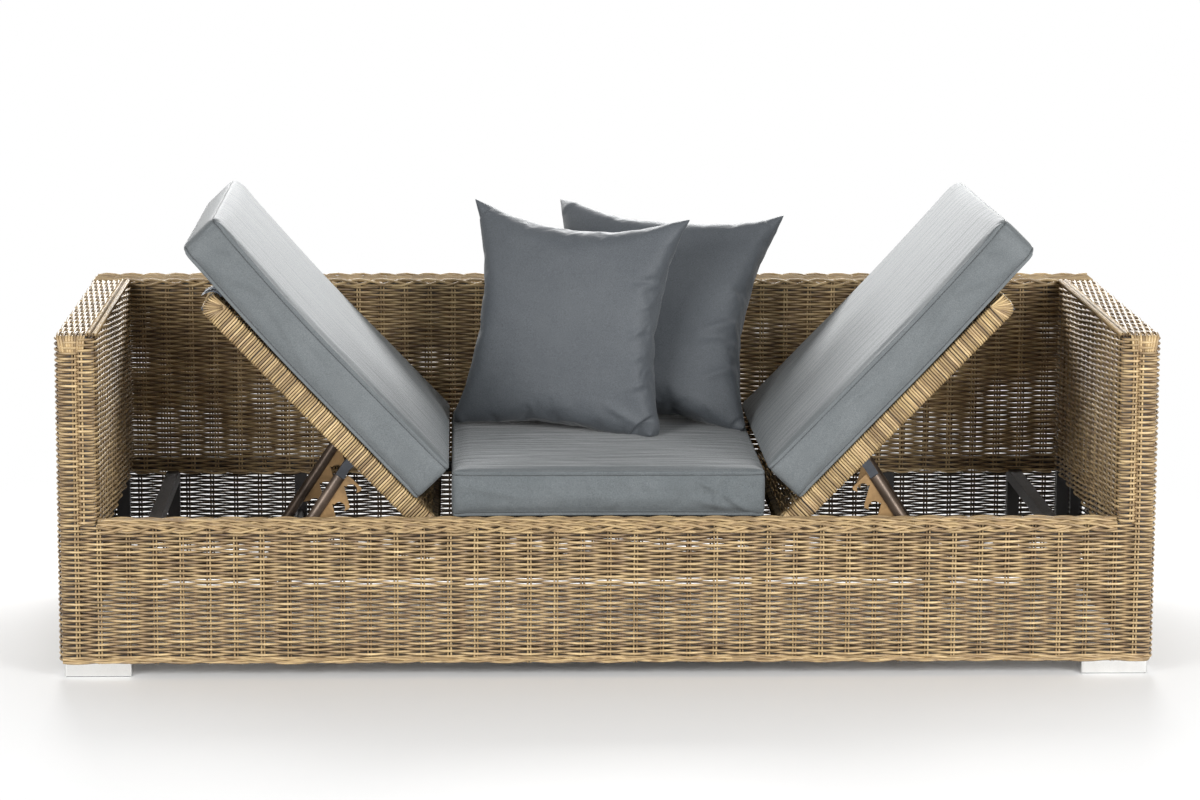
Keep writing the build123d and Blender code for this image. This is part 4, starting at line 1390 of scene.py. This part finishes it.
def pillow_mesh(name, side):
    """Two square layers joined at their edges, standing in the XZ plane."""
    cells = PILLOW_CELLS
    spots = 2 * np.arange(cells + 1) / cells - 1
    points = []
    index = {}
    for layer, sign in ((0, -1), (1, 1)):
        for i, across in enumerate(spots):
            for k, up in enumerate(spots):
                if layer and (i in (0, cells) or k in (0, cells)):
                    index[(1, i, k)] = index[(0, i, k)]
                    continue
                wide, high = 1 - across**2, 1 - up**2
                swell = math.sqrt(max(0.0, wide * high))
                x = across * side / 2 - PILLOW_SAG * across**3 * high
                z = up * side / 2 - PILLOW_SAG * up**3 * wide
                index[(layer, i, k)] = len(points)
                points.append((x, sign * PILLOW_START / 2 * swell, z))
    faces = []
    for layer in (0, 1):
        for i in range(cells):
            for k in range(cells):
                ring = ((i, k), (i + 1, k), (i + 1, k + 1), (i, k + 1))
                quad = [index[(layer, *spot)] for spot in ring]
                faces.append(quad[::-1] if layer else quad)
    points = np.array(points)
    points[:, 1] += PILLOW_JITTER * random.standard_normal(len(points))
    return mesh_piece(name, points, faces)


def bend_corner(points, side, corner, reach, turn):
    """Bends the tip of one pillow corner about a line across it. +turn is forward."""
    way = np.array((corner[0], 0.0, corner[1])) / math.sqrt(2)
    past = points @ way - (side / math.sqrt(2) - reach)
    arc = np.clip(past / TIP_RADIUS, 0, abs(turn))
    rest = past - arc * TIP_RADIUS
    along = TIP_RADIUS * np.sin(arc) + rest * np.cos(arc)
    out = TIP_RADIUS * (1 - np.cos(arc)) + rest * np.sin(arc)
    depth = points[:, 1]
    sign = -1 if turn > 0 else 1
    moved = points + (along - past - sign * depth * np.sin(arc))[:, None] * way
    moved[:, 1] = depth * np.cos(arc) + sign * out
    bent = past > 0
    points[bent] = moved[bent]


# Turns are degrees about Z, back from upright, and in the pillow's own plane. A bend
# is its corner, how far from the tip it starts, and its turn. Fill is how far the
# bottom edge hangs down in the middle
PILLOWS = {
    "front": {
        "side": 0.468,
        "centre": (-0.064, 0.090, 0.6140),
        "turns": (-20, 12.0, -2.7),
        "bends": (
            ((1, -1), 0.065, 1.1),
            ((-1, -1), 0.040, -0.5),
            ((1, 1), 0.05, -0.3),
            ((-1, 1), 0.05, 0.25),
        ),
        "fill": 0.045,
        "folds": (
            (215, 60, 165, 35, 3.5, 7),
            (215, 20, 155, -20, 4, 8),
            (212, -30, 160, -70, 3.5, 8),
            (205, -100, 165, -125, 3, 7),
            (200, 100, 140, 85, -3, 8),
            (190, -200, 120, -165, 3.5, 9),
        ),
    },
    "rear": {
        "side": 0.496,
        "centre": (0.1105, 0.2336, 0.6105),
        "turns": (-13.5, 31, -3.9),
        "bends": (
            ((1, -1), 0.040, 0.9),
            ((1, 1), 0.05, 0.2),
            ((-1, 1), 0.06, -0.25),
        ),
        "fill": 0.034,
        "folds": (
            (225, -10, 140, -50, 4.5, 9),
            (225, -50, 130, -70, -4, 10),
            (220, 50, 170, 30, 3.5, 8),
            (210, -120, 150, -150, 3.5, 9),
        ),
    },
}


def pillow(name, side, centre, turns, bends, fill, folds):
    """One scatter pillow: swollen, creased, bent at its corners and put in place."""
    piece = pillow_mesh(name + "_pillow_cover", side)
    swelling = (PILLOW_SWELL, PILLOW_PRESSURE, PILLOW_FRAMES)
    inflate(piece, *swelling, PILLOW_BENDING, PILLOW_SHRINK)
    subdivide(piece)
    points = read_points(piece)
    level = np.clip(-2 * points[:, 2] / side, 0, 1)
    middle = np.clip(1 - (2 * points[:, 0] / side) ** 2, 0, 1)
    points[:, 2] -= fill * level**2 * middle
    add_folds(points, folds, (points[:, 1] < 0).astype(float))
    for corner, reach, turn in bends:
        bend_corner(points, side, corner, reach, turn)
    write_points(piece, points)
    cloth_places(piece)
    turn, lean, roll = (math.radians(value) for value in turns)
    place = (
        Matrix.Translation(Vector(centre))
        @ Matrix.Rotation(turn, 4, "Z")
        @ Matrix.Rotation(-lean, 4, "X")
        @ Matrix.Rotation(-roll, 4, "Y")
    )
    piece.data.transform(place)
    node = name + "_pillow"
    finish_soft(piece, pillow_cloth, name + "_scatter_pillow", node)


# Start, middle and end of the curve of each layer, along and above the panel
STRAP_LAYERS = (
    ((0.592, 0.0232), (0.613, 0.0290), (0.6196, -0.0020)),
    ((0.592, 0.0262), (0.617, 0.0340), (0.6206, 0.0060)),
)
STRAP_WIDTH = 0.038
STRAP_Y = PANEL_FRONT + 0.046
STRAP_THICKNESS = 0.0026
STRAP_STEPS = 8
STRAP_CELLS = 6


def grid_quads(index):
    """Quads between the neighbours in a grid of vertex numbers."""
    corners = (index[:-1, :-1], index[:-1, 1:], index[1:, 1:], index[1:, :-1])
    return np.stack(corners, axis=-1).reshape(-1, 4).tolist()


def strap():
    """The doubled webbing end between the left panel's upper end and its cushion."""
    share = np.linspace(0, 1, STRAP_STEPS + 1)[:, None]
    across = STRAP_Y + STRAP_WIDTH * np.linspace(-0.5, 0.5, STRAP_CELLS + 1)
    points = []
    faces = []
    for start, middle, end in np.array(STRAP_LAYERS):
        curve = (1 - share) ** 2 * start + 2 * share * (1 - share) * middle + share**2 * end
        sheet = [
            paths_of(curve[:, :1], across, curve[:, 1:] + rise) for rise in (0, STRAP_THICKNESS)
        ]
        shape = np.shape(sheet)[:-1]
        low, top = len(points) + np.arange(np.prod(shape)).reshape(shape)
        points += np.reshape(sheet, (-1, 3)).tolist()
        faces += grid_quads(top) + grid_quads(low[:, ::-1])
        edges = ((low[0], top[0]), (top[-1], low[-1]))
        sides = ((top[:, 0], low[:, 0]), (low[:, -1], top[:, -1]))
        for edge in edges + sides:
            faces += grid_quads(np.stack(edge))
    piece = mesh_piece("left_strap_end", on_panel(-1)(points), faces)
    cloth_places(piece)
    piece.data.materials.append(webbing)
    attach(piece, "left_panel")
    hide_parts("left_panel_strap")


# Stage

WHITE = (1, 1, 1, 1)
FLOOR_COLOUR = (0.9, 0.9, 0.895, 1)
FLOOR_HALF = 9.0
FADE_START = 0.8
FADE_END = 2.1
WORLD_LIGHT = 0.26

# Name, place, aim, width and height, and watts of each lamp
LAMPS = (
    ("back_light", (0.0, 2.3, 1.75), (0, 0.1, 0.6), (3.2, 0.9), 110),
    ("left_light", (-2.4, -3.2, 1.35), (0, 0, 0.3), (1.7, 1.7), 100),
    ("right_light", (2.4, -3.2, 1.35), (0, 0, 0.3), (1.7, 1.7), 128),
)


def pale_floor():
    """A pale floor that fades into the white surround."""
    size = FLOOR_HALF
    corners = ((-size, -size, 0), (size, -size, 0), (size, size, 0), (-size, size, 0))
    floor = mesh_piece("floor", corners, [(0, 1, 2, 3)])
    material, nodes = new_material("pale_floor")
    nodes.set(Base_Color=FLOOR_COLOUR, Roughness=0.6)
    place = nodes.object_places()
    distance = nodes.new("ShaderNodeVectorMath", {0: place}, operation="LENGTH")
    inputs = {"Value": distance.outputs["Value"], "From Min": FADE_START, "From Max": FADE_END}
    fade = nodes.new("ShaderNodeMapRange", inputs, interpolation_type="SMOOTHSTEP")
    clear = nodes.new("ShaderNodeBsdfTransparent")
    inputs = {0: fade.outputs["Result"], 1: nodes.shader.outputs[0], 2: clear.outputs[0]}
    blend = nodes.new("ShaderNodeMixShader", inputs)
    surface = nodes.tree.nodes["Material Output"].inputs["Surface"]
    nodes.fill(surface, blend.outputs[0])
    floor.data.materials.append(material)


def white_world():
    """Even low light on the object, and plain white where the camera sees the world."""
    world = bpy.data.worlds.new("studio")
    bpy.context.scene.world = world
    world.use_nodes = True
    world.node_tree.nodes.clear()
    nodes = Nodes(world.node_tree)
    path = nodes.new("ShaderNodeLightPath").outputs
    lit = nodes.new("ShaderNodeBackground", {"Color": WHITE, "Strength": WORLD_LIGHT})
    seen = nodes.new("ShaderNodeBackground", {"Color": WHITE, "Strength": 1.0})
    shown = nodes.maths("MAXIMUM", path["Is Camera Ray"], path["Is Glossy Ray"])
    shown = nodes.maths("MAXIMUM", shown, path["Is Transmission Ray"])
    inputs = {0: shown, 1: lit.outputs[0], 2: seen.outputs[0]}
    mix = nodes.new("ShaderNodeMixShader", inputs)
    nodes.new("ShaderNodeOutputWorld", {"Surface": mix.outputs[0]})


def lamps():
    """Soft lights: low behind the sofa, and from both sides in front."""
    for name, place, aim, (width, height), watts in LAMPS:
        lamp = bpy.data.lights.new(name, "AREA")
        lamp.shape = "RECTANGLE"
        lamp.size, lamp.size_y = width, height
        lamp.energy = watts
        holder = link_piece(name, lamp)
        holder.location = place
        way = Vector(aim) - Vector(place)
        holder.rotation_euler = way.to_track_quat("-Z", "Y").to_euler()


def photo_camera():
    """The camera at the photograph's place, with its lens."""
    camera = bpy.data.cameras.new("camera")
    camera.sensor_width = SENSOR
    camera.lens = FOCAL_PIXELS * SENSOR / IMAGE_WIDTH
    camera.clip_end = 60
    holder = link_piece("camera", camera)
    columns = np.array([CAMERA_RIGHT, CAMERA_UP, np.negative(CAMERA_AHEAD)]).T
    matrix = Matrix(columns.tolist()).to_4x4()
    matrix.translation = Vector(CAMERA_PLACE)
    holder.matrix_world = matrix
    bpy.context.scene.camera = holder
    bpy.context.scene.view_settings.view_transform = "Standard"


dress_nodes()
woven_walls()
back_top()
apron_borders()
arm_top("left", -1)
arm_top("right", 1)
panels()
seat_cushions()
for pillow_name, pillow_facts in PILLOWS.items():
    pillow(pillow_name, **pillow_facts)
strap()
pale_floor()
white_world()
lamps()
photo_camera()

bpy.context.view_layer.update()
